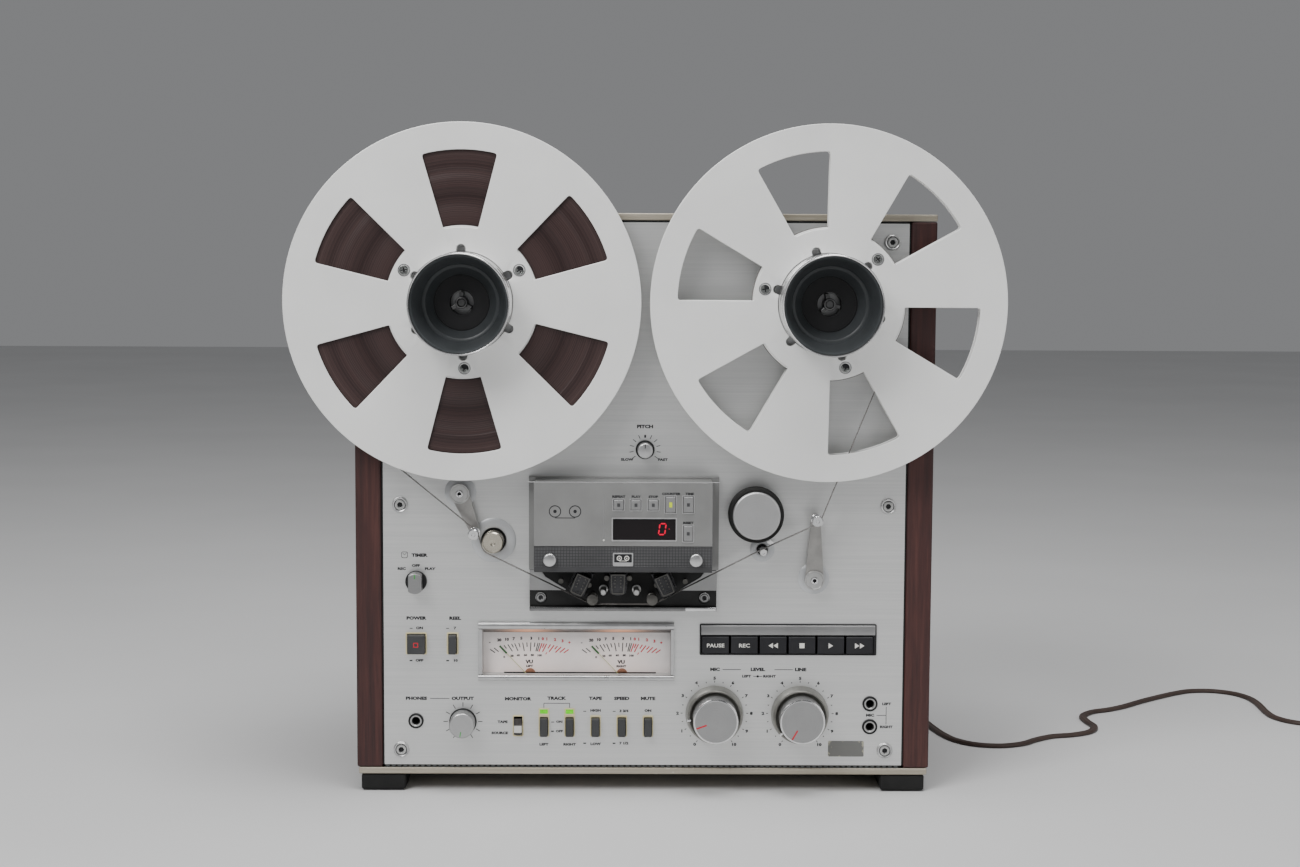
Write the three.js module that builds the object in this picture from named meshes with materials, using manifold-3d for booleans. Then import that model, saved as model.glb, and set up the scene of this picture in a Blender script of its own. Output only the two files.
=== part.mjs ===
// A reel to reel tape deck with 10.5 inch reels, standing upright in a wooden case.
// Millimetres, +Z up, +X to the viewer's right, the viewer on the -Y side.
// The origin is on the surface that the deck stands on, under the middle of the deck.
// Inside the deck's own group, y = 0 is the face of the front panel and depth grows to the rear.
import * as THREE from 'three';
import { mergeVertices } from 'three/addons/utils/BufferGeometryUtils.js';
import Module from 'manifold-3d';

const wasm = await Module();
wasm.setup();

// ---------------------------------------------------------------- driving dimensions
const GAP = 0.3; // between pieces that touch
const DEPTH = 212; // panel face to the back of the case
const REACH = 62; // panel face to the front rim of the hub adapters
const PANEL_Y = -(DEPTH - REACH) / 2; // centres the whole deck on the origin

const PANEL = { half: 198.9, bottom: 21, top: 436.9, thick: 3 };
const SIDE = { inner: 200.4, outer: 220, bottom: 18.9, top: 438.3 };
const TOP = { half: 220, bottom: 438.6, top: 443.8, sheet: 1.5, wall: 2 };
const BASE = { half: 218.7, bottom: 13.6, top: 18.6, sheet: 1.5, wall: 2 };
const FOOT = { inner: 183, outer: 217, height: 13.3, front: 1, back: 206 };
const BACK = { half: 200.1, bottom: 19, top: 438.2, thick: 2 };

const REEL = { x: 136.6, z: 377, radius: 133.35, flange: 1.2, hub: 57.15, bore: 38.1 };
const REEL_Y = { back: -13.6, hub: -14.8, front: -23.5 }; // each flange's rear face, and the hub's
const WINDOW = { inner: 56, outer: 113, innerHalf: 13.2, outerHalf: 14.3, count: 6 };
const NOTCH = { radius: 43.4, half: 3.4 };
const TAPE = { outer: 126.5, width: 6.4 };
const ADAPTER = { barrel: 37.7, collar: 36.4, bowl: 20.9, bore: 9.2, floor: -27 };
const SPINDLE = { tip: 4.6, wing: 8.2, table: 45, neck: 8, drum: 48, end: -31 };

const LEFT_ARM = { x: -140, z: 232, length: 31.2, angle: -68.2 };
const RIGHT_ARM = { x: 129.5, z: 166.6, length: 47.4, angle: 89.4 };
const ROLLER = { x: -114.7, z: 195.4, radius: 8.1 };
const CAPSTAN = { x: 90, z: 189, radius: 2.9 };
const PINCH = { x: 84.2, z: 217.7, radius: 21, cap: 18.1, axle: 3.7, arm: 40, tilt: 11.4 };

const HEADS = { left: -87.2, right: 55.2, bottom: 142.3, top: 195 };
const HOUSING = { left: -82.7, right: 50.6, bottom: 195.9, top: 243.4, front: -34, wall: 2.5 };
const FRAME = { left: -87.7, right: 56.6, bottom: 173.6, top: 244.6, front: -6 };
const COVER = { bottom: 175.9, top: 195.5, front: -34, wall: 2.4 };
const METER = { left: -126.6, right: 23.2, bottom: 87.2, top: 132.3, front: -4, card: 8 };
const METER_CAN = { inset: 2.4, back: 24, bottom: 81, pivotFront: 4.2, pivotBottom: 83.5 };
const METER_WINDOW = { left: -123.5, right: 20.7, bottom: 91.5, top: 127.2 };
const NEEDLE = { left: -87.3, right: -16.6, z: 87.8, length: 34, lean: 43.5 };

const KEYS = { left: 44.7, pitch: 22.08, width: 20.4, bottom: 108.7, top: 121.8, front: -3.2 };
const KEY_NAMES = ['pause', 'record', 'rewind', 'stop', 'play', 'forward'];

const COUNTER_BUTTON = { back: -25, front: -35.6 };
const COUNTER_BUTTONS = [
  ['repeat', -19.5, 227.1, 7.4, 7.4],
  ['auto_play', -6.6, 227.1, 7.4, 7.4],
  ['auto_stop', 6.3, 227.1, 7.4, 7.4],
  ['counter', 19.3, 227.4, 7.4, 11.8],
  ['min_sec', 32.5, 227.4, 7.4, 11.8],
  ['reset', 32.5, 205.7, 6.9, 11.4],
];
const DISPLAY = { left: -23.8, right: 23.2, bottom: 200.6, top: 216.6 };

// Push buttons and the rocker of the panel: name, centre x and z, width and height.
const PANEL_BUTTONS = [
  ['power_button', -174, 115.2, 13.4, 14.6],
  ['reel_size_button', -146.3, 115.2, 5.9, 14.6],
  ['track_left_button', -76.4, 51, 5.7, 14],
  ['track_right_button', -56.7, 51, 5.7, 14],
  ['tape_type_button', -36.8, 51, 5.7, 14],
  ['tape_speed_button', -16.6, 51, 5.7, 14],
  ['rec_mute_button', 3.5, 51, 5.7, 14],
];
const PANEL_BUTTON_Y = { front: -6.5, back: 14 };
const MONITOR = { x: -96.3, z: 51.4, width: 5.9, height: 13 };

const PITCH_KNOB = { x: 0.3, z: 265.2, foot: 7.2, face: 5.8, front: -12 };
const TIMER_KNOB = { x: -173.9, z: 163.5, foot: 8.2, grip: 7.8, front: -14 };
const OUTPUT_KNOB = { x: -138.6, z: 54.6, foot: 10.5, face: 9.6, front: -16 };
const LEVEL_KNOBS = [['mic_level', 54.6, 61], ['line_level', 120.3, 61]];
const LEVEL = { ring: 22.2, ringTop: 20.6, knob: 17, ringFront: -12, front: -28 };

const JACKS = [[-174.6, 55.1], [174.2, 69.3], [174.2, 51.4]];
const JACK_HOLE = 3.3;

// The mains lead: a flat twin cord. Its places are in the deck's outer frame.
const CORD = { width: 6.5, thick: 3.3 };
const GLAND = { x: 165, z: 42, length: 28, neck: 7, collar: 9, tip: 4.6 };
const COIL = { x: 636, y: 110.7, inner: 29.4, outer: 42.6, height: 10.4 };
const PLUG = { x: 675.3, away: 28.4, length: 34, width: 35.3, neck: 14, thick: 13.7, pin: 19, pinGap: 18.6 };
const CORD_ROUTE = [
  [165, 165.6, 42], [165, 182, 41], [165, 200, 35.5], [165, 218, 24.5], [165, 236, 11.5],
  [165, 254, 3.4], [167.9, 272.1, 1.8], [176.1, 282.7, 1.7], [188, 288.9, 1.7], [201.4, 289.5, 1.7],
  [213.8, 284.4, 1.7], [222.8, 274.5, 1.7], [230.2, 260.2, 1.7], [235.2, 246, 1.7],
  [238.9, 229.7, 1.7], [242.6, 209.4, 1.7], [245.7, 189, 1.7], [248.5, 168.6, 1.7],
  [251.3, 148.2, 1.7], [254.6, 127.8, 1.7], [259.3, 107.8, 1.7], [266.8, 88.6, 1.7], [280.9, 74.1, 1.7],
  [300.7, 69.6, 1.7], [319.9, 76.6, 1.7], [334.3, 91.2, 1.7], [350.5, 103.8, 1.7], [370.1, 110.1, 1.7],
  [386.8, 121.7, 1.7], [394.8, 140.4, 1.7], [392.8, 160.7, 1.7], [393.3, 181.1, 1.7], [404.5, 198.1, 1.7],
  [422.3, 208.4, 1.7], [438.4, 221.1, 1.7], [452.8, 235.9, 1.7], [467.5, 250.4, 1.7], [482.8, 264.2, 1.7],
  [498.6, 277.4, 1.7], [515.9, 288.3, 1.7], [536.2, 289.5, 1.7], [553.6, 279, 1.7], [563, 260.8, 1.7],
  [565, 240.3, 1.7], [564, 219.8, 1.7], [562.7, 199.2, 1.7], [564.3, 178.7, 1.7], [574.3, 160.9, 1.7],
  [592.1, 151.3, 1.7], [612.6, 150, 1.7],
].map((p) => new THREE.Vector3(...p));

// ---------------------------------------------------------------- materials
const paint = (color, roughness, metalness) =>
  new THREE.MeshStandardMaterial({ color, roughness, metalness });
const brushed = paint(0xb4b4b2, 0.35, 0.9);
const satin = paint(0xc9c9c6, 0.4, 0.85);
const steel = paint(0x9a9a98, 0.3, 1);
const brass = paint(0xb79b62, 0.3, 1);
const wood = paint(0x4e2c2a, 0.55, 0);
const foil = paint(0xa59b87, 0.4, 0.5);
const greyPlastic = paint(0x3c3c3d, 0.6, 0);
const blackPlastic = paint(0x141414, 0.55, 0);
const silverPlastic = paint(0x9c9c99, 0.45, 0.3);
const card = paint(0xe8e0d4, 0.8, 0);
const rubber = paint(0x151515, 0.9, 0);
const oxide = paint(0x4a2f2b, 0.4, 0.1);
const brownCord = paint(0x4a3a33, 0.6, 0);

// ---------------------------------------------------------------- scene graph and solids
const group = new THREE.Group();
const deck = new THREE.Group();
deck.position.y = PANEL_Y;
group.add(deck);

function part(name, geometry, material, place = [0, 0, 0], parent = deck) {
  const mesh = new THREE.Mesh(geometry, material);
  mesh.name = name;
  mesh.position.set(...place);
  parent.add(mesh);
  return mesh;
}

// A geometry whose faces all point out, with shared vertices and positions only.
function closed(geometry) {
  geometry.deleteAttribute('normal');
  geometry.deleteAttribute('uv');
  const merged = mergeVertices(geometry, 1e-4);
  const p = merged.attributes.position;
  const order = merged.index.array;
  const [a, b, c] = [new THREE.Vector3(), new THREE.Vector3(), new THREE.Vector3()];
  let volume = 0;
  for (let i = 0; i < order.length; i += 3) {
    a.fromBufferAttribute(p, order[i]);
    b.fromBufferAttribute(p, order[i + 1]);
    c.fromBufferAttribute(p, order[i + 2]);
    volume += a.dot(b.cross(c));
  }
  if (volume < 0) {
    for (let i = 0; i < order.length; i += 3) {
      [order[i + 1], order[i + 2]] = [order[i + 2], order[i + 1]];
    }
  }
  return merged;
}

function solid(geometry) {
  const merged = closed(geometry);
  return new wasm.Manifold(new wasm.Mesh({
    numProp: 3,
    vertProperties: new Float32Array(merged.attributes.position.array),
    triVerts: new Uint32Array(merged.index.array),
  }));
}

function geometryOf(manifold) {
  const mesh = manifold.getMesh();
  const geometry = new THREE.BufferGeometry();
  geometry.setAttribute('position', new THREE.BufferAttribute(mesh.vertProperties, 3));
  geometry.setIndex(new THREE.BufferAttribute(mesh.triVerts, 1));
  geometry.computeVertexNormals();
  return geometry;
}

const join = (...pieces) =>
  geometryOf(pieces.map(solid).reduce((all, piece) => all.add(piece)));
const cut = (body, ...tools) =>
  geometryOf(tools.map(solid).reduce((left, tool) => left.subtract(tool), solid(body)));

function box(x0, x1, y0, y1, z0, z1) {
  const geometry = new THREE.BoxGeometry(x1 - x0, y1 - y0, z1 - z0);
  geometry.translate((x0 + x1) / 2, (y0 + y1) / 2, (z0 + z1) / 2);
  return closed(geometry);
}

// A round bar along Y from y0 (front) to y1 (rear), with another radius at its front if given.
function bar(radius, y0, y1, sides = 16, x = 0, z = 0, frontRadius = radius) {
  const geometry = new THREE.CylinderGeometry(radius, frontRadius, y1 - y0, sides);
  geometry.translate(x, (y0 + y1) / 2, z);
  return closed(geometry);
}

// A solid of revolution about the Y axis from a closed list of [radius, y].
function turned(profile, sides) {
  const points = profile.map(([r, y]) => new THREE.Vector2(r, y));
  const ends = profile[0][0] === 0 && profile.at(-1)[0] === 0;
  if (!ends) points.push(points[0].clone());
  return closed(new THREE.LatheGeometry(points, sides));
}

// A plate that stands facing the viewer: an outline in x and z, extruded from y0 to y1.
function plate(shape, y0, y1, curveSegments = 12) {
  const geometry = new THREE.ExtrudeGeometry(shape, {
    depth: y1 - y0, bevelEnabled: false, curveSegments,
  });
  geometry.rotateX(Math.PI / 2);
  geometry.translate(0, y1, 0);
  return closed(geometry);
}

const radians = THREE.MathUtils.degToRad;
const polar = (radius, degrees, x = 0, z = 0) => new THREE.Vector2(
  x + radius * Math.cos(radians(degrees)), z + radius * Math.sin(radians(degrees)));

function circle(radius, sides, x = 0, z = 0, Kind = THREE.Path) {
  const steps = Array.from({ length: sides }, (_, i) => polar(radius, (360 * i) / sides, x, z));
  return new Kind(steps);
}

// ---------------------------------------------------------------- case
// Tools that cut a round or a rectangular hole through any plate near y0 to y1.
const roundHole = (radius, sides, x, z, y0, y1) => bar(radius, y0 - 1, y1 + 1, sides, x, z);
const squareHole = (x, z, width, height, y0, y1) =>
  box(x - width / 2, x + width / 2, y0 - 1, y1 + 1, z - height / 2, z + height / 2);

function frontPanel() {
  const y = [0, PANEL.thick];
  const body = box(-PANEL.half, PANEL.half, ...y, PANEL.bottom, PANEL.top);
  const keysRight = KEYS.left + 5 * KEYS.pitch + KEYS.width;
  return cut(body,
    ...[-1, 1].map((side) => roundHole(SPINDLE.neck + 1.5, 16, side * REEL.x, REEL.z, ...y)),
    ...[LEFT_ARM, RIGHT_ARM].map((arm) => roundHole(5, 12, arm.x, arm.z, ...y)),
    roundHole(ROLLER.radius + 1.4, 16, ROLLER.x, ROLLER.z, ...y),
    roundHole(CAPSTAN.radius + 1.4, 12, CAPSTAN.x, CAPSTAN.z, ...y),
    roundHole(PINCH.axle + 6, 12, PINCH.x + 0.5, PINCH.z - 2.5, ...y),
    ...[PITCH_KNOB, TIMER_KNOB, OUTPUT_KNOB].map((knob) => roundHole(3.6, 8, knob.x, knob.z, ...y)),
    ...LEVEL_KNOBS.map(([, x, z]) => roundHole(5.2, 10, x, z, ...y)),
    ...JACKS.map(([x, z]) => roundHole(JACK_HOLE, 12, x, z, ...y)),
    ...PANEL_BUTTONS.map(([, x, z, width, height]) =>
      squareHole(x, z, width + 0.8, height + 0.8, ...y)),
    squareHole(MONITOR.x, MONITOR.z, MONITOR.width + 0.8, MONITOR.height + 1.2, ...y),
    box(METER.left + 2, METER.right - 2, -1, 4, METER.bottom + 2, METER.top - 2),
    box(KEYS.left - 1, keysRight + 1, -1, 4, KEYS.bottom - 0.8, KEYS.top + 0.8));
}

function sidePanel(side) {
  const xs = [side * SIDE.inner, side * SIDE.outer].sort((a, b) => a - b);
  return box(...xs, 0, DEPTH, SIDE.bottom, SIDE.top);
}

// A shallow pan with a rim all round: the top cover opens downwards and the bottom plate upwards.
function topCover() {
  const { half, bottom, top, sheet, wall } = TOP;
  return cut(box(-half, half, 0, DEPTH, bottom, top),
    box(wall - half, half - wall, wall, DEPTH - wall, bottom - 1, top - sheet));
}

function bottomPlate() {
  const { half, bottom, top, sheet, wall } = BASE;
  return cut(box(-half, half, 0, DEPTH, bottom, top),
    box(wall - half, half - wall, wall, DEPTH - wall, bottom + sheet, top + 1));
}

function footRail(side) {
  const xs = [side * FOOT.inner, side * FOOT.outer].sort((a, b) => a - b);
  return box(...xs, FOOT.front, FOOT.back, 0, FOOT.height);
}

function backCover() {
  const y = [DEPTH - BACK.thick, DEPTH];
  const slots = [];
  for (const z of [330, 400]) {
    for (let column = -3; column <= 3; column += 1) slots.push(squareHole(40 * column, z, 6, 50, ...y));
  }
  return cut(box(-BACK.half, BACK.half, ...y, BACK.bottom, BACK.top),
    roundHole(GLAND.neck + GAP, 12, GLAND.x, GLAND.z, ...y), ...slots);
}

// ---------------------------------------------------------------- reels
// A flange with six windows and, round its bore, six round-ended notches.
function flangeShape() {
  const shape = circle(REEL.radius, 72, 0, 0, THREE.Shape);
  for (let k = 0; k < WINDOW.count; k += 1) {
    const middle = 90 + 60 * k;
    const outer = [-1, -0.92, -0.5, 0, 0.5, 0.92, 1].map((t) =>
      polar(WINDOW.outer - (Math.abs(t) === 1 ? 2.6 : 0), middle + t * WINDOW.outerHalf));
    const inner = [1, 0.8, 0, -0.8, -1].map((t) =>
      polar(WINDOW.inner + (Math.abs(t) === 1 ? 1.6 : 0), middle + t * WINDOW.innerHalf));
    shape.holes.push(new THREE.Path([...outer, ...inner]));
  }
  const bore = [];
  for (let k = 0; k < 6; k += 1) {
    const middle = 30 + 60 * k;
    const across = polar(1, middle + 90);
    const base = THREE.MathUtils.radToDeg(Math.asin(NOTCH.half / REEL.bore));
    bore.push(polar(REEL.bore, middle - base));
    for (const t of [-90, -45, 0, 45, 90]) {
      const along = NOTCH.radius - NOTCH.half + NOTCH.half * Math.cos(radians(t));
      bore.push(polar(along, middle).addScaledVector(across, NOTCH.half * Math.sin(radians(t))));
    }
    bore.push(polar(REEL.bore, middle + base));
    for (const t of [15, 25, 35, 45]) bore.push(polar(REEL.bore, middle + t));
  }
  shape.holes.push(new THREE.Path(bore));
  return shape;
}

const frontFlange = () => plate(flangeShape(), REEL_Y.front - REEL.flange, REEL_Y.front);

// The back flange carries the hub, which is a ring with a wall 10 mm thick.
function backFlange() {
  const hub = circle(REEL.hub, 36, 0, 0, THREE.Shape);
  hub.holes.push(circle(REEL.hub - 10, 24));
  return join(plate(flangeShape(), REEL_Y.hub, REEL_Y.back),
    plate(hub, REEL_Y.front + GAP, REEL_Y.hub + 0.2));
}

function tapePack() {
  const middle = (REEL_Y.hub + REEL_Y.front) / 2;
  const pack = circle(TAPE.outer, 64, 0, 0, THREE.Shape);
  pack.holes.push(circle(REEL.hub + GAP, 36));
  return plate(pack, middle - TAPE.width / 2, middle + TAPE.width / 2);
}

// The adapter fills the bore and carries a deep bowl with a bright rim.
function adapter() {
  const { barrel, collar, bowl, bore, floor } = ADAPTER;
  return turned([
    [bore, floor], [bowl, floor], [35.4, -REACH + 1], [36.6, -REACH], [barrel, -REACH + 0.6],
    [barrel, -52], [collar, -50], [collar, -40], [barrel, -38], [barrel, REEL_Y.back],
    [bore, REEL_Y.back],
  ], 40);
}

// Shaft, three driving wings, reel table and, behind the panel, the reel motor's outer rotor.
function spindle() {
  const shaft = turned([
    [0, SPINDLE.end], [SPINDLE.tip - 1, SPINDLE.end], [SPINDLE.tip, SPINDLE.end + 1],
    [SPINDLE.tip, -13.3], [SPINDLE.table, -13.3], [SPINDLE.table, -9.5], [SPINDLE.neck, -9.5],
    [SPINDLE.neck, 30], [SPINDLE.drum, 30], [SPINDLE.drum, 72], [0, 72],
  ], 32);
  const wings = [90, 210, 330].map((angle) => {
    const wing = box(0, SPINDLE.wing, SPINDLE.end + 2, -13, -1.5, 1.5);
    return wing.rotateY(-radians(angle));
  });
  return join(shaft, ...wings);
}

function reelSide(side, prefix, turn, loaded) {
  const reel = new THREE.Group();
  reel.position.set(side * REEL.x, 0, REEL.z);
  reel.rotation.y = -radians(turn);
  deck.add(reel);
  part(`${prefix}_flange_front`, frontFlange(), satin, [0, 0, 0], reel);
  part(`${prefix}_flange_back`, backFlange(), satin, [0, 0, 0], reel);
  if (loaded) part('tape_pack', tapePack(), oxide, [0, 0, 0], reel);
  part(`${prefix}_adapter`, adapter(), greyPlastic, [0, 0, 0], reel);
  part(`${prefix}_spindle`, spindle(), steel, [0, 0, 0], reel);
}

// ---------------------------------------------------------------- tape path
// A tapered arm along +X from its pivot, with a shaft to the rear and a flanged guide at its tip.
function tensionArm(length) {
  const wide = 7.2;
  const narrow = 3.6;
  const outline = [];
  for (let t = 90; t <= 270; t += 30) outline.push(polar(wide, t));
  for (let t = -90; t <= 90; t += 45) outline.push(polar(narrow, t, length));
  const arm = plate(new THREE.Shape(outline), -9, -6.5);
  return join(arm, bar(7.2, -13, -2, 16), bar(4.2, -3, 16, 12),
    bar(2.6, -25, -8, 10, length), bar(4.2, -27, -24.5, 12, length), bar(4.2, -16.2, -14.5, 12, length));
}

function tensionArmAt(name, arm) {
  part(name, tensionArm(arm.length), steel, [arm.x, 0, arm.z]).rotation.y = -radians(arm.angle);
}

const impedanceRoller = () => join(bar(ROLLER.radius, -16, 8, 20), bar(3, 7, 45, 10));

const capstan = () => join(bar(CAPSTAN.radius, -18, 26, 16), bar(38, 25, 43, 36));

function pinchRoller() {
  const tyre = circle(PINCH.radius, 36, 0, 0, THREE.Shape);
  tyre.holes.push(circle(PINCH.axle + GAP, 12));
  return plate(tyre, -22.5, -8);
}

// The pinch arm turns behind the panel. Its axle comes forward and ends in a metal cap.
function pinchArm() {
  const outline = [];
  for (let t = 90; t <= 270; t += 30) outline.push(polar(7, t, -PINCH.arm));
  for (let t = -90; t <= 90; t += 30) outline.push(polar(7, t));
  const lever = plate(new THREE.Shape(outline), 5, 8);
  return join(lever, bar(PINCH.axle, -23.5, 6, 12), bar(PINCH.cap, -25.4, -22.8, 32),
    bar(4, 4, 14, 12, -PINCH.arm));
}

// ---------------------------------------------------------------- head block
// The base plate with its erase, record and play heads, two tape guides and two lifters.
function headBase() {
  const { left, right, bottom, top } = HEADS;
  const lower = box(left, right, -5, -GAP, bottom, FRAME.bottom - 0.4);
  const upper = box(HOUSING.left + 0.4, HOUSING.right - 0.4, -5, -GAP, FRAME.bottom - 1, top);
  const lip = box(left, right, -9, -4.5, bottom, bottom + 3.4);
  const heads = [[-52, -24], [-19.9, 0], [19, 24]].map(([x, lean]) => {
    const head = box(-6.2, 6.2, -25, -4.5, 0, 17);
    head.rotateY(-radians(-lean));
    head.translate(x, 0, 157);
    return head;
  });
  const guides = [-39.1, 6].map((x) => bar(3.6, -24.5, -4.5, 12, x, 153.5));
  const lifters = [-31, -5.8].map((x) => bar(2.4, -22, -4.5, 10, x, 158.8));
  return join(lower, upper, lip, ...heads, ...guides, ...lifters);
}

// The housing is a shell, open to the rear, on a frame that also runs round the head cover.
function counterHousing() {
  const { left, right, bottom, top, front, wall } = HOUSING;
  const shell = box(left, right, front, FRAME.front + 1, bottom, top);
  const frame = box(FRAME.left, FRAME.right, FRAME.front, -GAP, FRAME.bottom, FRAME.top);
  const hollow = box(left + wall, right - wall, front + wall, 1, bottom + wall, top - wall);
  const coverGap = box(left - 0.1, right + 0.1, FRAME.front - 1, 1, FRAME.bottom - 1, bottom);
  const windows = [
    box(DISPLAY.left, DISPLAY.right, front - 1, front + wall + 1, DISPLAY.bottom, DISPLAY.top),
    ...COUNTER_BUTTONS.map(([, x, z, width, height]) =>
      box(x - width / 2 - 0.35, x + width / 2 + 0.35, front - 1, front + wall + 1,
        z - height / 2 - 0.35, z + height / 2 + 0.35)),
  ];
  return geometryOf([hollow, coverGap, ...windows].map(solid)
    .reduce((left_, tool) => left_.subtract(tool), solid(shell).add(solid(frame))));
}

// The cover slips over the heads from the front and is held by two push-on knobs.
function headCover() {
  const { left, right } = HOUSING;
  const { bottom, top, front, wall } = COVER;
  const block = cut(box(left, right, front, -6, bottom, top),
    box(left + wall, right - wall, front + wall, 0, bottom - 1, top - wall));
  return join(block, bar(4.9, front - 4, front + 1, 16, -70.9, 185.7),
    bar(4.9, front - 4, front + 1, 16, 38.5, 185.7));
}

// A button that slides in the housing's face, with a wider foot behind it.
const counterButton = (width, height) =>
  box(-width / 2, width / 2, COUNTER_BUTTON.front, COUNTER_BUTTON.back, -height / 2, height / 2);

// ---------------------------------------------------------------- meters
// One housing for both meters, open at the window, with the scale card on its rear wall.
function meterHousing() {
  const { inset, back, bottom, pivotFront, pivotBottom } = METER_CAN;
  const left = METER.left + inset;
  const right = METER.right - inset;
  const top = METER.top - inset;
  const bezel = box(METER.left, METER.right, METER.front, -GAP, METER.bottom, METER.top);
  const neck = box(left, right, -1, PANEL.thick + GAP + 1, METER.bottom + inset, top);
  const can = box(left, right, PANEL.thick + GAP, back, bottom, top);
  const window = METER_WINDOW;
  const hollow = box(window.left, window.right, METER.front - 1, METER.card, window.bottom, window.top);
  const pivots = box(window.left, window.right, pivotFront, METER.card, pivotBottom, window.bottom + 1);
  return cut(join(bezel, neck, can), hollow, pivots);
}

// A needle on its hub, leaning to the left end of its scale.
function needle() {
  const pointer = box(-0.35, 0.35, 5.2, 5.9, 0, NEEDLE.length);
  pointer.rotateY(-radians(NEEDLE.lean));
  return join(bar(3, 4.7, 6.6, 12), pointer);
}

// ---------------------------------------------------------------- knobs, keys and buttons
function roundKnob({ foot, face, front }) {
  return join(bar(foot, -2, -GAP, 24), bar(face, front, -1, 24), bar(3.1, -1, 14, 8));
}

function timerKnob() {
  const { foot, grip, front } = TIMER_KNOB;
  const outline = [50, 70, 90, 110, 130, 230, 250, 270, 290, 310].map((angle) => polar(grip, angle));
  return join(bar(foot, -3, -GAP, 20), plate(new THREE.Shape(outline), front, -2),
    bar(3.1, -1, 14, 8));
}

function levelRing() {
  return turned([
    [4.4, LEVEL.ringFront], [LEVEL.ringTop, LEVEL.ringFront], [LEVEL.ring, -2], [LEVEL.ring, -GAP],
    [4.4, -GAP],
  ], 32);
}

const levelKnob = () => join(
  bar(LEVEL.knob, LEVEL.front, LEVEL.ringFront - GAP, 32), bar(3.9, LEVEL.ringFront - 1, 16, 10));

// Each key and button is a cap on a stem; the stem's end carries the return spring's seat.
function pushButton(width, height, front, back) {
  return join(box(-width / 2, width / 2, front, 6, -height / 2, height / 2),
    box(-1.5, 1.5, 5, back, -2, 2));
}

// The rocker stands tilted in its window, lower half pressed, and turns about a level pin.
function monitorSwitch() {
  const half = MONITOR.height / 2 - 0.7;
  const outline = [[-3.5, half], [0.5, half], [6, 2.5], [6, -2.5], [0.5, -half], [-4.6, -half]];
  const shape = new THREE.Shape(outline.map(([y, z]) => new THREE.Vector2(y, z)));
  const geometry = new THREE.ExtrudeGeometry(shape, { depth: MONITOR.width, bevelEnabled: false });
  geometry.rotateX(Math.PI / 2);
  geometry.rotateZ(Math.PI / 2);
  geometry.center();
  geometry.translate(0, 0.7, 0);
  return closed(geometry);
}

// ---------------------------------------------------------------- mains lead
function cordGland() {
  return turned([
    [0, -6], [GLAND.neck, -6], [GLAND.neck, GAP], [GLAND.collar, GAP], [GLAND.collar, 3],
    [GLAND.neck, 4], [GLAND.tip, GLAND.length], [0, GLAND.length],
  ], 16);
}

// A twin cord lies on its wide side, so its section is wide across and thin in height.
function cordSection() {
  const flat = CORD.width / 2 - CORD.thick / 2;
  const outline = [];
  for (const t of [-60, 0, 60]) outline.push(polar(CORD.thick / 2, t, flat));
  for (const t of [120, 180, 240]) outline.push(polar(CORD.thick / 2, t, -flat));
  return new THREE.Shape(outline);
}

function powerCord() {
  const geometry = new THREE.ExtrudeGeometry(cordSection(), {
    steps: 78, bevelEnabled: false, extrudePath: new THREE.CatmullRomCurve3(CORD_ROUTE, false, 'centripetal'),
  });
  return closed(geometry);
}

function cordCoil() {
  const { inner, outer, height } = COIL;
  const ring = turned([[inner, 0], [outer, 0], [outer, height], [inner, height]], 40);
  return ring.rotateX(Math.PI / 2);
}

// A flat two-pin plug lying on its back, its cord entry towards +Y.
function powerPlug() {
  const { length, width, neck, thick, pin, pinGap } = PLUG;
  const outline = [
    [-neck / 2, 0], [neck / 2, 0], [neck / 2, -8], [width / 2, -20], [width / 2, -length],
    [-width / 2, -length], [-width / 2, -20], [-neck / 2, -8],
  ].map(([x, y]) => new THREE.Vector2(x, y));
  const body = closed(new THREE.ExtrudeGeometry(new THREE.Shape(outline), {
    depth: thick, bevelEnabled: false,
  }));
  const pins = [-1, 1].map((side) =>
    bar(2, -length - pin, 1 - length, 10, (side * pinGap) / 2, thick / 2));
  return join(body, ...pins);
}

// ---------------------------------------------------------------- the deck put together
part('front_panel', frontPanel(), brushed);
part('side_panel_left', sidePanel(-1), wood);
part('side_panel_right', sidePanel(1), wood);
part('top_cover', topCover(), foil);
part('bottom_plate', bottomPlate(), foil);
part('back_cover', backCover(), blackPlastic);
part('foot_rail_left', footRail(-1), rubber);
part('foot_rail_right', footRail(1), rubber);

reelSide(-1, 'supply', 0.8, true);
reelSide(1, 'takeup', 14.5, false);

tensionArmAt('tension_arm_left', LEFT_ARM);
tensionArmAt('tension_arm_right', RIGHT_ARM);
part('impedance_roller', impedanceRoller(), brass, [ROLLER.x, 0, ROLLER.z]);
part('capstan', capstan(), steel, [CAPSTAN.x, 0, CAPSTAN.z]);
part('pinch_roller', pinchRoller(), rubber, [PINCH.x, 0, PINCH.z]);
part('pinch_arm', pinchArm(), satin, [PINCH.x, 0, PINCH.z]).rotation.y = -radians(PINCH.tilt);

part('head_base', headBase(), blackPlastic);
part('counter_housing', counterHousing(), silverPlastic);
part('head_cover', headCover(), greyPlastic);
for (const [name, x, z, width, height] of COUNTER_BUTTONS) {
  part(`button_${name}`, counterButton(width, height), silverPlastic, [x, 0, z]);
}

part('meter_housing', meterHousing(), card);
part('needle_left', needle(), blackPlastic, [NEEDLE.left, 0, NEEDLE.z]);
part('needle_right', needle(), blackPlastic, [NEEDLE.right, 0, NEEDLE.z]);

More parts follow.
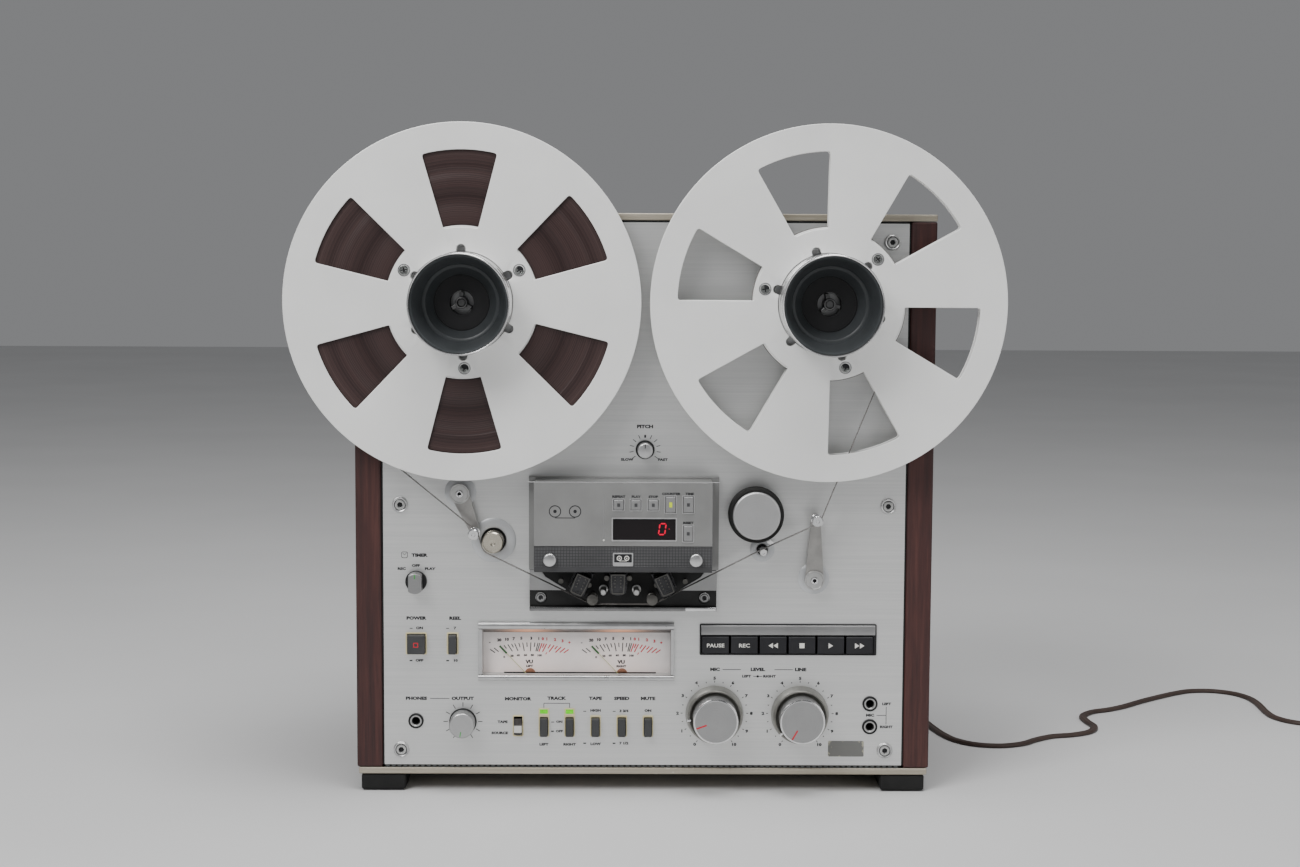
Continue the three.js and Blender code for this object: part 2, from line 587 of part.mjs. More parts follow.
part('pitch_knob', roundKnob(PITCH_KNOB), satin, [PITCH_KNOB.x, 0, PITCH_KNOB.z]);
part('timer_knob', timerKnob(), silverPlastic, [TIMER_KNOB.x, 0, TIMER_KNOB.z]);
part('output_knob', roundKnob(OUTPUT_KNOB), silverPlastic, [OUTPUT_KNOB.x, 0, OUTPUT_KNOB.z]);
for (const [name, x, z] of LEVEL_KNOBS) {
  part(`${name}_ring`, levelRing(), satin, [x, 0, z]);
  part(`${name}_knob`, levelKnob(), satin, [x, 0, z]);
}

KEY_NAMES.forEach((name, i) => {
  const x = KEYS.left + i * KEYS.pitch + KEYS.width / 2;
  const key = pushButton(KEYS.width, KEYS.top - KEYS.bottom, KEYS.front, 18);
  part(`key_${name}`, key, blackPlastic, [x, 0, (KEYS.bottom + KEYS.top) / 2]);
});
for (const [name, x, z, width, height] of PANEL_BUTTONS) {
  const button = pushButton(width, height, PANEL_BUTTON_Y.front, PANEL_BUTTON_Y.back);
  part(name, button, greyPlastic, [x, 0, z]);
}
part('monitor_switch', monitorSwitch(), greyPlastic, [MONITOR.x, 0, MONITOR.z]);

part('cord_gland', cordGland(), blackPlastic, [GLAND.x, DEPTH, GLAND.z]);
part('power_cord', powerCord(), brownCord, [0, 0, 0], group);
part('cord_coil', cordCoil(), brownCord, [COIL.x, COIL.y, 0], group);
part('power_plug', powerPlug(), blackPlastic, [PLUG.x, COIL.y - PLUG.away, 0], group);

export default group;
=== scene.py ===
# %% [markdown]
# # A reel to reel tape deck, dressed
#
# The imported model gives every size, joint and body. This lesson adds what the eye needs: soft edges,
# brushed and anodised metal, veneer, wound tape, printed scales, lit meters and the mains lead.
# Lengths in the cells below are millimetres in the deck's own frame: x to the viewer's right, y from
# the face of the front panel to the rear, z up from the shelf. One helper turns them into metres.

import math
import random

import bmesh
import bpy
from mathutils import Matrix, Vector


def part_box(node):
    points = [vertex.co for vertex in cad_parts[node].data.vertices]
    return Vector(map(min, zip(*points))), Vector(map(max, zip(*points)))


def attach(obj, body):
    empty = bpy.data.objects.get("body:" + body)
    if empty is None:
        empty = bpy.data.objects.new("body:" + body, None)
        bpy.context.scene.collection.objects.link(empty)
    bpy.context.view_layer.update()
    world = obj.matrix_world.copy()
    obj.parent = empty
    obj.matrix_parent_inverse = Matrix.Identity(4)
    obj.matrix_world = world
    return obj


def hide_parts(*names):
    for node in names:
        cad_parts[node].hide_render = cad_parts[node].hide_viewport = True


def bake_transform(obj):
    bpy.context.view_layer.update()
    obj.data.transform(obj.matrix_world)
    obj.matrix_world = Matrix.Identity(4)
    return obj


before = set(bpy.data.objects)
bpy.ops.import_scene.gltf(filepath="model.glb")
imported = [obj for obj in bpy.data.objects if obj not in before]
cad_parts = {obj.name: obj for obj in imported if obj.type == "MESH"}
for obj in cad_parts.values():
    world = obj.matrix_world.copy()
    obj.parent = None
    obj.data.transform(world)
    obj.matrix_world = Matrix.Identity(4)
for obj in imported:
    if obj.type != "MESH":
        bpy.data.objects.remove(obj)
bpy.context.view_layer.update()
PANEL_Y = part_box("front_panel")[0][1]
TO_METRES = Matrix.Translation((0, PANEL_Y, 0)) @ Matrix.Scale(0.001, 4)
print("panel face at y =", round(PANEL_Y, 4), "m, nodes:", len(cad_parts))

# %% [markdown]
# ## Node trees as arithmetic
#
# A procedural finish is mostly sums and products of patterns. Wiring Math nodes by hand hides that,
# so a small class wraps an output socket and lets Python's operators add the Math nodes. Every other
# node comes from one method that sets its options first and its sockets after.

# %% Wire and Finish
class Wire:
    """One output socket of a finish's node tree."""

    def __init__(self, finish, socket):
        self.finish = finish
        self.socket = socket

    def math(self, operation, first, second=0.0):
        return self.finish.node("ShaderNodeMath", {"operation": operation}, {0: first, 1: second})

    def __add__(self, other):
        return self.math("ADD", self, other)

    def __sub__(self, other):
        return self.math("SUBTRACT", self, other)

    def __rsub__(self, other):
        return self.math("SUBTRACT", other, self)

    def __mul__(self, other):
        return self.math("MULTIPLY", self, other)

    def __truediv__(self, other):
        return self.math("DIVIDE", self, other)

    def __pow__(self, other):
        return self.math("POWER", self, other)

    def __gt__(self, other):
        return self.math("GREATER_THAN", self, other)

    __radd__ = __add__
    __rmul__ = __mul__


class Finish:
    """A material with one Principled shader and a method for each kind of node that it needs."""

    def __init__(self, name, color=(0.5, 0.5, 0.5), metallic=0.0, roughness=0.5, **sockets):
        self.material = bpy.data.materials.new(name)
        self.material.use_nodes = True
        self.tree = self.material.node_tree
        self.shader = self.tree.nodes["Principled BSDF"]
        self.put("Base Color", color)
        self.put("Metallic", metallic)
        self.put("Roughness", roughness)
        for key, value in sockets.items():
            self.put(key.replace("_", " "), value)

    def put(self, name, value):
        """Feed one socket of the shader with a wire, a number or a colour."""
        self.feed(self.shader.inputs[name], value)

    def feed(self, socket, value):
        if isinstance(value, Wire):
            self.tree.links.new(value.socket, socket)
        elif isinstance(value, tuple) and len(value) == 3 and socket.type == "RGBA":
            socket.default_value = (*value, 1.0)
        else:
            socket.default_value = value

    def node(self, kind, settings=None, inputs=None, out=0):
        made = self.tree.nodes.new(kind)
        for key, value in (settings or {}).items():
            if key == "stops":
                while len(made.color_ramp.elements) < len(value):
                    made.color_ramp.elements.new(1.0)
                for element, (place, color) in zip(made.color_ramp.elements, value):
                    element.position = place
                    element.color = (*color, 1.0)
            else:
                setattr(made, key, value)
        for key, value in (inputs or {}).items():
            self.feed(made.inputs[key], value)
        return Wire(self, made.outputs[out])

    def place(self, centre=(0, 0, 0), stretch=(1, 1, 1)):
        """Object coordinates, moved so that centre is the origin, then stretched."""
        here = self.node("ShaderNodeTexCoord", out="Object")
        shift = tuple(-c * s for c, s in zip(centre, stretch))
        return self.node("ShaderNodeMapping", inputs={"Vector": here, "Location": shift, "Scale": stretch})

    def axes(self, vector):
        return [self.node("ShaderNodeSeparateXYZ", inputs={"Vector": vector}, out=i) for i in range(3)]

    def noise(self, scale, detail=4.0, vector=None, roughness=0.55):
        return self.node("ShaderNodeTexNoise", inputs={
            "Vector": vector or self.place(), "Scale": scale, "Detail": detail, "Roughness": roughness})

    def ramp(self, value, stops):
        return self.node("ShaderNodeValToRGB", {"stops": stops}, {"Fac": value})

    def blend(self, factor, first, second):
        return self.node("ShaderNodeMix", {"data_type": "RGBA"}, {0: factor, 6: first, 7: second}, out=2)

    def bump(self, height, distance, strength=1.0):
        self.put("Normal", self.node("ShaderNodeBump", inputs={
            "Height": height, "Distance": distance, "Strength": strength}))

    def shade(self, low, high, pattern):
        """A colour that drifts between two shades as the pattern goes from 0 to 1."""
        self.put("Base Color", self.ramp(pattern, [(0.3, low), (0.7, high)]))


# %% [markdown]
# ## Metal finishes
#
# The panel is aluminium brushed from side to side, so its noise is stretched a hundredfold along x.
# The reels are anodised: paler, and with no direction. Turned parts carry rings about their own axis,
# so their pattern runs on the distance from that axis.

# %% Metals
def brushed_aluminium():
    finish = Finish("brushed_aluminium", metallic=0.82)
    streaks = finish.noise(900, 3, finish.place(stretch=(0.012, 1, 1)))
    broad = finish.noise(5, 2)
    finish.shade((0.66, 0.665, 0.66), (0.76, 0.76, 0.75), streaks * 0.7 + broad * 0.3)
    finish.put("Roughness", 0.30 + streaks * 0.16 + broad * 0.04)
    finish.bump(streaks, 0.00002, 0.5)
    return finish.material


def anodised_reel():
    finish = Finish("anodised_reel", metallic=0.35)
    grain = finish.noise(2600, 2)
    marks = finish.noise(14, 6)
    finish.shade((0.86, 0.86, 0.845), (0.93, 0.93, 0.915), marks * 0.7 + grain * 0.3)
    finish.put("Roughness", 0.40 + marks * 0.14)
    finish.bump(grain, 0.00002, 0.5)
    return finish.material


def turned_metal(name, centre, low, high, roughness=0.24, metallic=1.0):
    """Metal with fine rings about an axis along y through centre, (x, z) in metres."""
    finish = Finish(name, metallic=metallic)
    x, _, z = finish.axes(finish.place((centre[0], 0, centre[1])))
    radius = (x * x + z * z) ** 0.5
    rings = finish.node("ShaderNodeTexNoise", {"noise_dimensions": "1D"}, {"W": radius, "Scale": 2500.0})
    haze = finish.noise(60, 3)
    finish.shade(low, high, rings * 0.6 + haze * 0.4)
    finish.put("Roughness", roughness + rings * 0.14)
    finish.bump(rings, 0.00003, 0.5)
    return finish.material


def plain_metal(name, low, high, roughness=0.25):
    finish = Finish(name, metallic=1.0)
    haze = finish.noise(90, 5)
    finish.shade(low, high, haze)
    finish.put("Roughness", roughness + haze * 0.15)
    finish.bump(finish.noise(1500, 2), 0.00001, 0.4)
    return finish.material


STEEL = plain_metal("satin_steel", (0.46, 0.46, 0.45), (0.62, 0.62, 0.61))
CHROME = plain_metal("bright_chrome", (0.72, 0.72, 0.72), (0.84, 0.84, 0.84), 0.08)
PANEL_METAL = brushed_aluminium()
REEL_METAL = anodised_reel()
print("metals ready")

# %% [markdown]
# ## Plastics, rubber, wood and print
#
# Moulded plastic is never one flat colour: its texture scatters light unevenly and edges wear. One
# function covers the moulded parts, with shades, texture scale and depth as its choices. The veneer
# has long vertical fibres with darker pores, and the champagne trim is a foil that has lifted in places.

# %% Plastics and wood
def moulded(name, low, high, roughness=0.5, scale=1400, depth=0.00003, **sockets):
    sockets.setdefault("Specular_IOR_Level", 0.28)
    finish = Finish(name, **sockets)
    texture = finish.noise(scale, 2)
    wear = finish.noise(35, 5)
    finish.shade(low, high, wear * 0.8 + texture * 0.2)
    finish.put("Roughness", roughness + wear * 0.14 - 0.07)
    finish.bump(texture, depth, 0.6)
    return finish.material


def veneer():
    finish = Finish("dark_veneer", roughness=0.5)
    fibres = finish.noise(260, 6, finish.place(stretch=(1, 1, 0.035)), 0.65)
    figure = finish.noise(26, 4, finish.place(stretch=(1, 1, 0.12)))
    pores = finish.noise(900, 2, finish.place(stretch=(1, 1, 0.05)))
    finish.put("Base Color", finish.ramp(fibres * 0.5 + figure * 0.3 + pores * 0.2, [
        (0.34, (0.015, 0.005, 0.005)), (0.50, (0.049, 0.014, 0.012)), (0.66, (0.094, 0.030, 0.024))]))
    finish.put("Roughness", 0.40 + pores * 0.25)
    finish.bump(fibres * 0.6 + pores * 0.4, 0.00012, 0.7)
    return finish.material


def champagne_foil():
    finish = Finish("champagne_foil", metallic=0.35, roughness=0.42)
    patches = finish.noise(38, 8, None, 0.7)
    lifted = patches > 0.66
    streaks = finish.noise(500, 3, finish.place(stretch=(0.03, 1, 1)))
    base = finish.ramp(streaks, [(0.3, (0.36, 0.32, 0.25)), (0.7, (0.47, 0.43, 0.35))])
    finish.put("Base Color", finish.blend(lifted * 0.55, base, (0.62, 0.59, 0.52)))
    finish.put("Roughness", 0.36 + streaks * 0.12 + lifted * 0.15)
    finish.bump(lifted * 0.6 + streaks * 0.1, 0.00008, 0.6)
    return finish.material


def cover_grid():
    """Dark plastic with a fine square grid pressed into its face; the pressed lines are painted darker as
    shade.
    """
    finish = Finish("pressed_grid", roughness=0.6)
    x, _, z = finish.axes(finish.place())
    pitch = 0.0022
    lines = None
    for axis in (x, z):
        wave = finish.node("ShaderNodeMath", {"operation": "FRACT"}, {0: axis / pitch + 0.5})
        near = finish.node("ShaderNodeMath", {"operation": "ABSOLUTE"}, {0: wave - 0.5})
        line = near > 0.40
        lines = line if lines is None else finish.node("ShaderNodeMath", {"operation": "MAXIMUM"},
                                                       {0: lines, 1: line})
    haze = finish.noise(60, 4)
    # painted shade: the pressed lines get a darker colour than the face
    finish.put("Base Color", finish.blend(lines, finish.ramp(haze, [
        (0.3, (0.050, 0.050, 0.052)), (0.7, (0.075, 0.075, 0.078))]), (0.022, 0.022, 0.023)))
    finish.put("Roughness", 0.5 + haze * 0.15)
    finish.bump(1 - lines, 0.00025, 0.8)
    return finish.material


def wound_tape(centre):
    """The edges of a thousand turns: rings about the reel's axis, darker where the winding is tight."""
    finish = Finish("wound_tape", roughness=0.35)
    x, _, z = finish.axes(finish.place((centre[0], 0, centre[1])))
    radius = (x * x + z * z) ** 0.5
    fine = finish.node("ShaderNodeTexNoise", {"noise_dimensions": "1D"}, {"W": radius, "Scale": 1800.0})
    broad = finish.node("ShaderNodeTexNoise", {"noise_dimensions": "1D"}, {"W": radius, "Scale": 70.0})
    finish.put("Base Color", finish.ramp(fine * 0.62 + broad * 0.38, [
        (0.34, (0.010, 0.004, 0.004)), (0.52, (0.034, 0.016, 0.015)), (0.70, (0.062, 0.034, 0.031))]))
    finish.put("Roughness", 0.26 + broad * 0.25)
    finish.bump(fine * 0.5 + broad * 0.5, 0.0002, 0.6)
    return finish.material


def glowing(name, color, strength):
    finish = Finish(name, color=tuple(0.05 * c for c in color), roughness=0.5, Specular_IOR_Level=0.1)
    spread = finish.noise(300, 2)
    dim = tuple(0.75 * c for c in color)
    finish.put("Emission Color", finish.ramp(spread, [(0.3, dim), (0.7, color)]))
    finish.put("Emission Strength", strength)
    return finish.material


WOOD = veneer()
FOIL = champagne_foil()
GRID = cover_grid()
BLACK = moulded("black_satin", (0.010, 0.010, 0.011), (0.022, 0.022, 0.023), 0.42)
BLACK_METAL = moulded("black_crackle", (0.010, 0.010, 0.010), (0.024, 0.024, 0.024), 0.55, 500, 0.00012)
RUBBER = moulded("black_rubber", (0.009, 0.009, 0.009), (0.020, 0.020, 0.019), 0.75, 700, 0.00008)
DARK_GREY = moulded("dark_grey", (0.060, 0.063, 0.062), (0.085, 0.088, 0.086), 0.45)
BOWL_GREY = moulded("bowl_grey", (0.034, 0.038, 0.040), (0.052, 0.057, 0.060), 0.36)
HOUSING = moulded("metallic_grey", (0.255, 0.255, 0.25), (0.31, 0.31, 0.305), 0.40, 2200, 0.00002,
                  metallic=0.55)
CREAM = moulded("cream_frame", (0.66, 0.58, 0.33), (0.76, 0.69, 0.44), 0.45)
KEY_BLACK = moulded("key_black", (0.014, 0.014, 0.016), (0.026, 0.026, 0.029), 0.34, 1800, 0.00002)
CORD_BROWN = moulded("cord_brown", (0.040, 0.026, 0.022), (0.070, 0.048, 0.040), 0.48, 900, 0.00004)
# dark ink for print, and also the painted shade at the bottom of screw recesses
INK_AND_SHADE = moulded("dark_ink_and_shade", (0.012, 0.012, 0.014), (0.022, 0.022, 0.024), 0.6)
WHITE_INK = moulded("white_ink", (0.72, 0.71, 0.66), (0.82, 0.81, 0.77), 0.6)
RED_INK = moulded("red_ink", (0.50, 0.015, 0.03), (0.62, 0.03, 0.05), 0.5)
GREEN_INK = moulded("green_ink", (0.05, 0.30, 0.06), (0.09, 0.42, 0.10), 0.5)
STRIP = moulded("strip_silver", (0.30, 0.30, 0.30), (0.38, 0.38, 0.38), 0.34, 2000, 0.00001, metallic=0.7)
GREEN_LIGHT = glowing("green_light", (0.16, 0.95, 0.0), 1.0)
RED_LIGHT = glowing("red_light", (1.0, 0.0, 0.05), 1.25)
YELLOW_LIGHT = glowing("yellow_light", (0.75, 0.90, 0.03), 1.0)
print(len(bpy.data.materials), "materials so far")

# %% [markdown]
# ## Shaping helpers
#
# Three moves make nearly everything here. A turned part is a profile spun about y, as on a lathe. A
# plate is a filled outline, with any holes, pushed back to its thickness. A block is a cube that is
# scaled and bevelled. Real edges are never sharp, so each helper rounds them, and the last one turns
# a finished bmesh into an object, places it in metres and hands it to its body.

# %% Shaping helpers
def deg(degrees):
    return math.radians(degrees)


def arc(radius, start, end, steps, x=0.0, z=0.0):
    """Points on a circle, angles counted from +x towards +z."""
    angles = [deg(start + (end - start) * i / steps) for i in range(steps + 1)]
    return [(x + radius * math.cos(a), z + radius * math.sin(a)) for a in angles]


def circle(radius, steps=48, x=0.0, z=0.0):
    return arc(radius, 0, 360, steps, x, z)[:-1]


def rounded(x0, x1, z0, z1, corner, steps=4):
    """A rectangle in x and z with round corners."""
    points = []
    for x, z, start in ((x1 - corner, z1 - corner, 0), (x0 + corner, z1 - corner, 90),
                        (x0 + corner, z0 + corner, 180), (x1 - corner, z0 + corner, 270)):
        points += arc(corner, start, start + 90, steps, x, z)
    return points


def recalculated(bm):
    bmesh.ops.remove_doubles(bm, verts=bm.verts, dist=0.0005)
    bmesh.ops.recalc_face_normals(bm, faces=bm.faces)
    return bm


def soften(bm, width, segments=2, least=30, keep=lambda edge: True):
    """Bevel the edges that turn by more than least degrees."""
    sharp = [e for e in bm.edges if e.is_manifold and e.calc_face_angle(0) > deg(least) and keep(e)]
    bmesh.ops.bevel(bm, geom=sharp, offset=width, offset_type="OFFSET", affect="EDGES",
                    segments=segments, profile=0.5, material=-1, clamp_overlap=True)
    return bm


def turned(profile, x=0.0, z=0.0, steps=64, edge=0.0, solid=True):
    """Spin (radius, y) points about an axis along y through x, z."""
    bm = bmesh.new()
    verts = [bm.verts.new((r, y, 0)) for r, y in profile]
    pairs = list(zip(verts, verts[1:])) + ([(verts[-1], verts[0])] if solid else [])
    edges = [bm.edges.new(pair) for pair in pairs]
    bmesh.ops.spin(bm, geom=verts + edges, cent=(0, 0, 0), axis=(0, 1, 0), angle=math.tau,
                   steps=steps, use_merge=True)
    flat = [f for f in bm.faces if f.calc_area() < 1e-9]
    bmesh.ops.delete(bm, geom=flat, context="FACES")
    recalculated(bm)
    if edge:
        soften(bm, edge)
    bmesh.ops.translate(bm, verts=bm.verts, vec=(x, 0, z))
    return bm


def plate(outline, y0, y1, holes=(), edge=0.0, segments=2):
    """Fill an outline with its holes at y1 and push it forward to y0."""
    bm = bmesh.new()
    edges = []
    for loop in (outline, *holes):
        verts = [bm.verts.new((x, y1, z)) for x, z in loop]
        edges += [bm.edges.new(pair) for pair in zip(verts, verts[1:] + verts[:1])]
    if holes:
        bmesh.ops.triangle_fill(bm, edges=edges, use_beauty=True)
    else:
        bmesh.ops.contextual_create(bm, geom=edges)
    grown = bmesh.ops.extrude_face_region(bm, geom=bm.faces[:])["geom"]
    moved = [v for v in grown if isinstance(v, bmesh.types.BMVert)]
    bmesh.ops.translate(bm, verts=moved, vec=(0, y0 - y1, 0))
    recalculated(bm)
    return soften(bm, edge, segments) if edge else bm


def block(x0, x1, y0, y1, z0, z1, edge=0.3, segments=2):
    bm = bmesh.new()
    bmesh.ops.create_cube(bm, size=1)
    bmesh.ops.scale(bm, verts=bm.verts, vec=(x1 - x0, y1 - y0, z1 - z0))
    bmesh.ops.translate(bm, verts=bm.verts, vec=((x0 + x1) / 2, (y0 + y1) / 2, (z0 + z1) / 2))
    return soften(bm, edge, segments) if edge else bm


def moved(bm, shift=(0, 0, 0), turn=0.0, about=(0, 0)):
    """Turn a bmesh about an axis along y (positive is anticlockwise to the viewer), then shift it."""
    bmesh.ops.rotate(bm, verts=bm.verts, cent=(about[0], 0, about[1]),
                     matrix=Matrix.Rotation(-deg(turn), 3, "Y"))
    bmesh.ops.translate(bm, verts=bm.verts, vec=shift)
    return bm


def together(*parts):
    """Several bmeshes as one, each still its own closed shell."""
    whole = bmesh.new()
    for bm in parts:
        mesh = bpy.data.meshes.new("part")
        bm.to_mesh(mesh)
        whole.from_mesh(mesh)
        bpy.data.meshes.remove(mesh)
        bm.free()
    return whole


def from_node(name):
    """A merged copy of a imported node's mesh, in the deck's millimetres."""
    bm = bmesh.new()
    bm.from_mesh(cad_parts[name].data)
    bmesh.ops.transform(bm, matrix=TO_METRES.inverted(), verts=bm.verts)
    bmesh.ops.remove_doubles(bm, verts=bm.verts, dist=0.002)
    bmesh.ops.dissolve_limit(bm, angle_limit=deg(1), verts=bm.verts, edges=bm.edges)
    return bm


def shade(bm):
    """Smooth faces, with a hard line wherever a small bevel face meets a much larger one."""
    for face in bm.faces:
        face.smooth = True
    for edge in bm.edges:
        if len(edge.link_faces) == 2:
            sizes = sorted(face.calc_area() for face in edge.link_faces)
            angle = edge.calc_face_angle(0)
            edge.smooth = angle < deg(12) or (angle < deg(40) and sizes[1] < 6 * sizes[0])


def piece(name, bm, material, body="case", replaces=(), place=TO_METRES):
    """Turn a bmesh into a finished piece that rides on a body, unless body is None."""
    shade(bm)
    bmesh.ops.transform(bm, matrix=place, verts=bm.verts)
    mesh = bpy.data.meshes.new(name)
    bm.to_mesh(mesh)
    bm.free()
    mesh.materials.append(material)
    obj = bpy.data.objects.new(name, mesh)
    bpy.context.scene.collection.objects.link(obj)
    if body:
        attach(obj, body)
    if replaces:
        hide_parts(*([replaces] if isinstance(replaces, str) else replaces))
    return obj


print("helpers ready")

# %% [markdown]
# ## Camera, light and floor
#
# The deck is seen from a little left of its middle, at the height of its top edge, looking slightly
# down. A long lens keeps its sides nearly parallel. Large soft lights stand above and to both sides,
# and a pale world fills the metal's reflections.

# %% Camera, light and floor
LENS = 60.37
YAW, PITCH, ROLL = 0.0109, 0.0951, 0.0051
EYE = Vector((-0.0140, PANEL_Y - 1.64775, 0.4346))


def add_camera():
    forward = Vector((math.sin(YAW) * math.cos(PITCH), math.cos(YAW) * math.cos(PITCH), -math.sin(PITCH)))
    level = Vector((math.cos(YAW), -math.sin(YAW), 0))
    right = level * math.cos(ROLL) + level.cross(forward) * math.sin(ROLL)
    up = right.cross(forward)
    data = bpy.data.cameras.new("camera")
    data.lens = LENS
    data.sensor_width = 36.0
    camera = bpy.data.objects.new("camera", data)
    camera.matrix_world = Matrix((right, up, -forward)).transposed().to_4x4()
    camera.location = EYE
    bpy.context.scene.collection.objects.link(camera)
    bpy.context.scene.camera = camera


def add_light(name, place, target, size, power):
    data = bpy.data.lights.new(name, "AREA")
    data.size = size
    data.energy = power
    light = bpy.data.objects.new(name, data)
    light.location = place
    light.rotation_euler = (Vector(target) - Vector(place)).to_track_quat("-Z", "Y").to_euler()
    bpy.context.scene.collection.objects.link(light)


def add_floor():
    bm = bmesh.new()
    bmesh.ops.create_grid(bm, x_segments=1, y_segments=1, size=6)
    mesh = bpy.data.meshes.new("floor")
    bm.to_mesh(mesh)
    bm.free()
    paper = Finish("floor_paper", roughness=0.9)
    paper.shade((0.60, 0.60, 0.60), (0.63, 0.63, 0.63), paper.noise(3, 2))
    mesh.materials.append(paper.material)
    floor = bpy.data.objects.new("floor", mesh)
    bpy.context.scene.collection.objects.link(floor)


add_camera()
middle = (0, 0, 0.25)
add_light("key", (-1.1, -1.6, 1.9), middle, 1.1, 42)
add_light("fill", (1.9, -1.6, 1.0), middle, 1.8, 12)
add_light("top", (0.2, -0.5, 2.2), middle, 1.2, 36)
world = bpy.data.worlds.new("studio")
world.use_nodes = True
world.node_tree.nodes["Background"].inputs["Color"].default_value = (0.80, 0.81, 0.83, 1)
world.node_tree.nodes["Background"].inputs["Strength"].default_value = 0.27
bpy.context.scene.world = world
add_floor()
print("camera at", tuple(round(v, 3) for v in EYE))

# %% [markdown]
# ## Mains lead
#
# The lead is a flat twin cord, two cores side by side, about 2.2 m long. It leaves a tapered relief low
# on the back, drops to the floor, wanders out to the right and is wound into five neat turns, two
# wide and three deep, with a two-pin plug beside them. Its section is a figure of eight swept along
# one line: a curve object would be round, so the tube is bridged ring by ring, and each ring keeps
# its wide side level.

# %% The lead's route
CORD_WIDTH, CORD_THICK = 0.0065, 0.0033
COIL_CENTRE = Vector((0.636, 0.1107, 0))
OUTER_TURN, INNER_TURN = 0.0393, 0.0327
LAYER = 0.0034
CORD_ROUTE = [
    (165, 165.6, 42), (165, 182, 41), (165, 200, 35.5), (165, 218, 24.5), (165, 236, 11.5),
    (165, 254, 3.4), (167.9, 272.1, 1.8), (176.1, 282.7, 1.7), (188, 288.7, 1.7), (201.4, 289.2, 1.7),
    (213.8, 284.4, 1.7), (222.8, 274.5, 1.7), (230.2, 260.2, 1.7), (235.2, 246, 1.7), (238.9, 229.7, 1.7),
    (242.6, 209.4, 1.7), (245.7, 189, 1.7), (248.5, 168.6, 1.7),
    (251.3, 148.2, 1.7), (254.6, 127.8, 1.7), (259.3, 107.8, 1.7), (266.8, 88.6, 1.7), (280.9, 74.1, 1.7),
    (300.7, 69.6, 1.7), (319.9, 76.6, 1.7), (334.3, 91.2, 1.7), (350.5, 103.8, 1.7), (370.1, 110.1, 1.7),
    (386.8, 121.7, 1.7), (394.8, 140.4, 1.7), (392.8, 160.7, 1.7), (393.3, 181.1, 1.7), (404.5, 198.1, 1.7),
    (422.3, 208.4, 1.7), (438.4, 221.1, 1.7), (452.8, 235.9, 1.7), (467.5, 250.4, 1.7), (482.8, 264.2, 1.7),
    (498.6, 277.4, 1.7), (515.9, 288.0, 1.7), (536.2, 289.2, 1.7), (553.6, 279, 1.7), (563, 260.8, 1.7),
    (565, 240.3, 1.7), (564, 219.8, 1.7), (562.7, 199.2, 1.7), (564.3, 178.7, 1.7), (574.3, 160.9, 1.7),
    (592.1, 151.3, 1.7), (612.6, 150, 1.7),
]


def smooth_line(points, steps=8):
    """A centripetal Catmull-Rom curve through points."""
    line = [points[0] * 2 - points[1], *points, points[-1] * 2 - points[-2]]
    out = []
    for a, b, c, d in zip(line, line[1:], line[2:], line[3:]):
        t1 = (b - a).length ** 0.5
        t2 = t1 + (c - b).length ** 0.5
        t3 = t2 + (d - c).length ** 0.5
        for i in range(steps):
            t = t1 + (t2 - t1) * i / steps
            ab = a * ((t1 - t) / t1) + b * (t / t1)
            bc = b * ((t2 - t) / (t2 - t1)) + c * ((t - t1) / (t2 - t1))
            cd = c * ((t3 - t) / (t3 - t2)) + d * ((t - t2) / (t3 - t2))
            abc = ab * ((t2 - t) / t2) + bc * (t / t2)
            bcd = bc * ((t3 - t) / (t3 - t1)) + cd * ((t - t1) / (t3 - t1))
            out.append(abc * ((t2 - t) / (t2 - t1)) + bcd * ((t - t1) / (t2 - t1)))
    return out + [points[-1]]


def coil_turns(per_turn=40):
    """Clockwise turns from the top of the ring: outer, inner, inner, outer, outer, then a quarter."""
    radii = [OUTER_TURN, INNER_TURN, INNER_TURN, OUTER_TURN, OUTER_TURN, OUTER_TURN]
    layers = [0.5, 0.5, 1.5, 1.5, 2.5, 2.5]
    points = []
    for turn in range(5 * per_turn + per_turn // 4 + 1):
        k, part = divmod(turn, per_turn)
        ease = max(0.0, (part / per_turn - 0.6) / 0.4)
        ease *= ease * (3 - 2 * ease)
        after = min(k + 1, 5)
        radius = radii[k] + (radii[after] - radii[k]) * ease
        height = LAYER * (layers[k] + (layers[after] - layers[k]) * ease)
        angle = math.pi / 2 - math.tau * turn / per_turn
        points.append(COIL_CENTRE + Vector((radius * math.cos(angle), radius * math.sin(angle), height)))
    return points


route = smooth_line([Vector(p) * 0.001 for p in CORD_ROUTE])
turns = coil_turns()
plug_entry = Vector((0.6753, 0.1107 - 0.0284, 0.0072))
tail = smooth_line([turns[-1], turns[-1].lerp(plug_entry, 0.5), plug_entry], 6)[1:]
cord_line = route[:-1] + smooth_line([route[-1], Vector((0.625, 0.150, 0.0017)), turns[0]],
                                     5)[:-1] + turns + tail
cord_length = sum((b - a).length for a, b in zip(cord_line, cord_line[1:]))
print("lead length", round(cord_length, 3), "m in", len(cord_line), "points")


# %% Sweep the twin section
def twin_section(steps=6):
    """A figure of eight, (across, up), in metres."""
    radius = CORD_THICK / 2
    offset = CORD_WIDTH / 2 - radius
    lobe = [(offset + radius * math.cos(a), radius * math.sin(a))
            for a in (deg(-130 + 260 * i / steps) for i in range(steps + 1))]
    return lobe + [(-x, -z) for x, z in lobe]


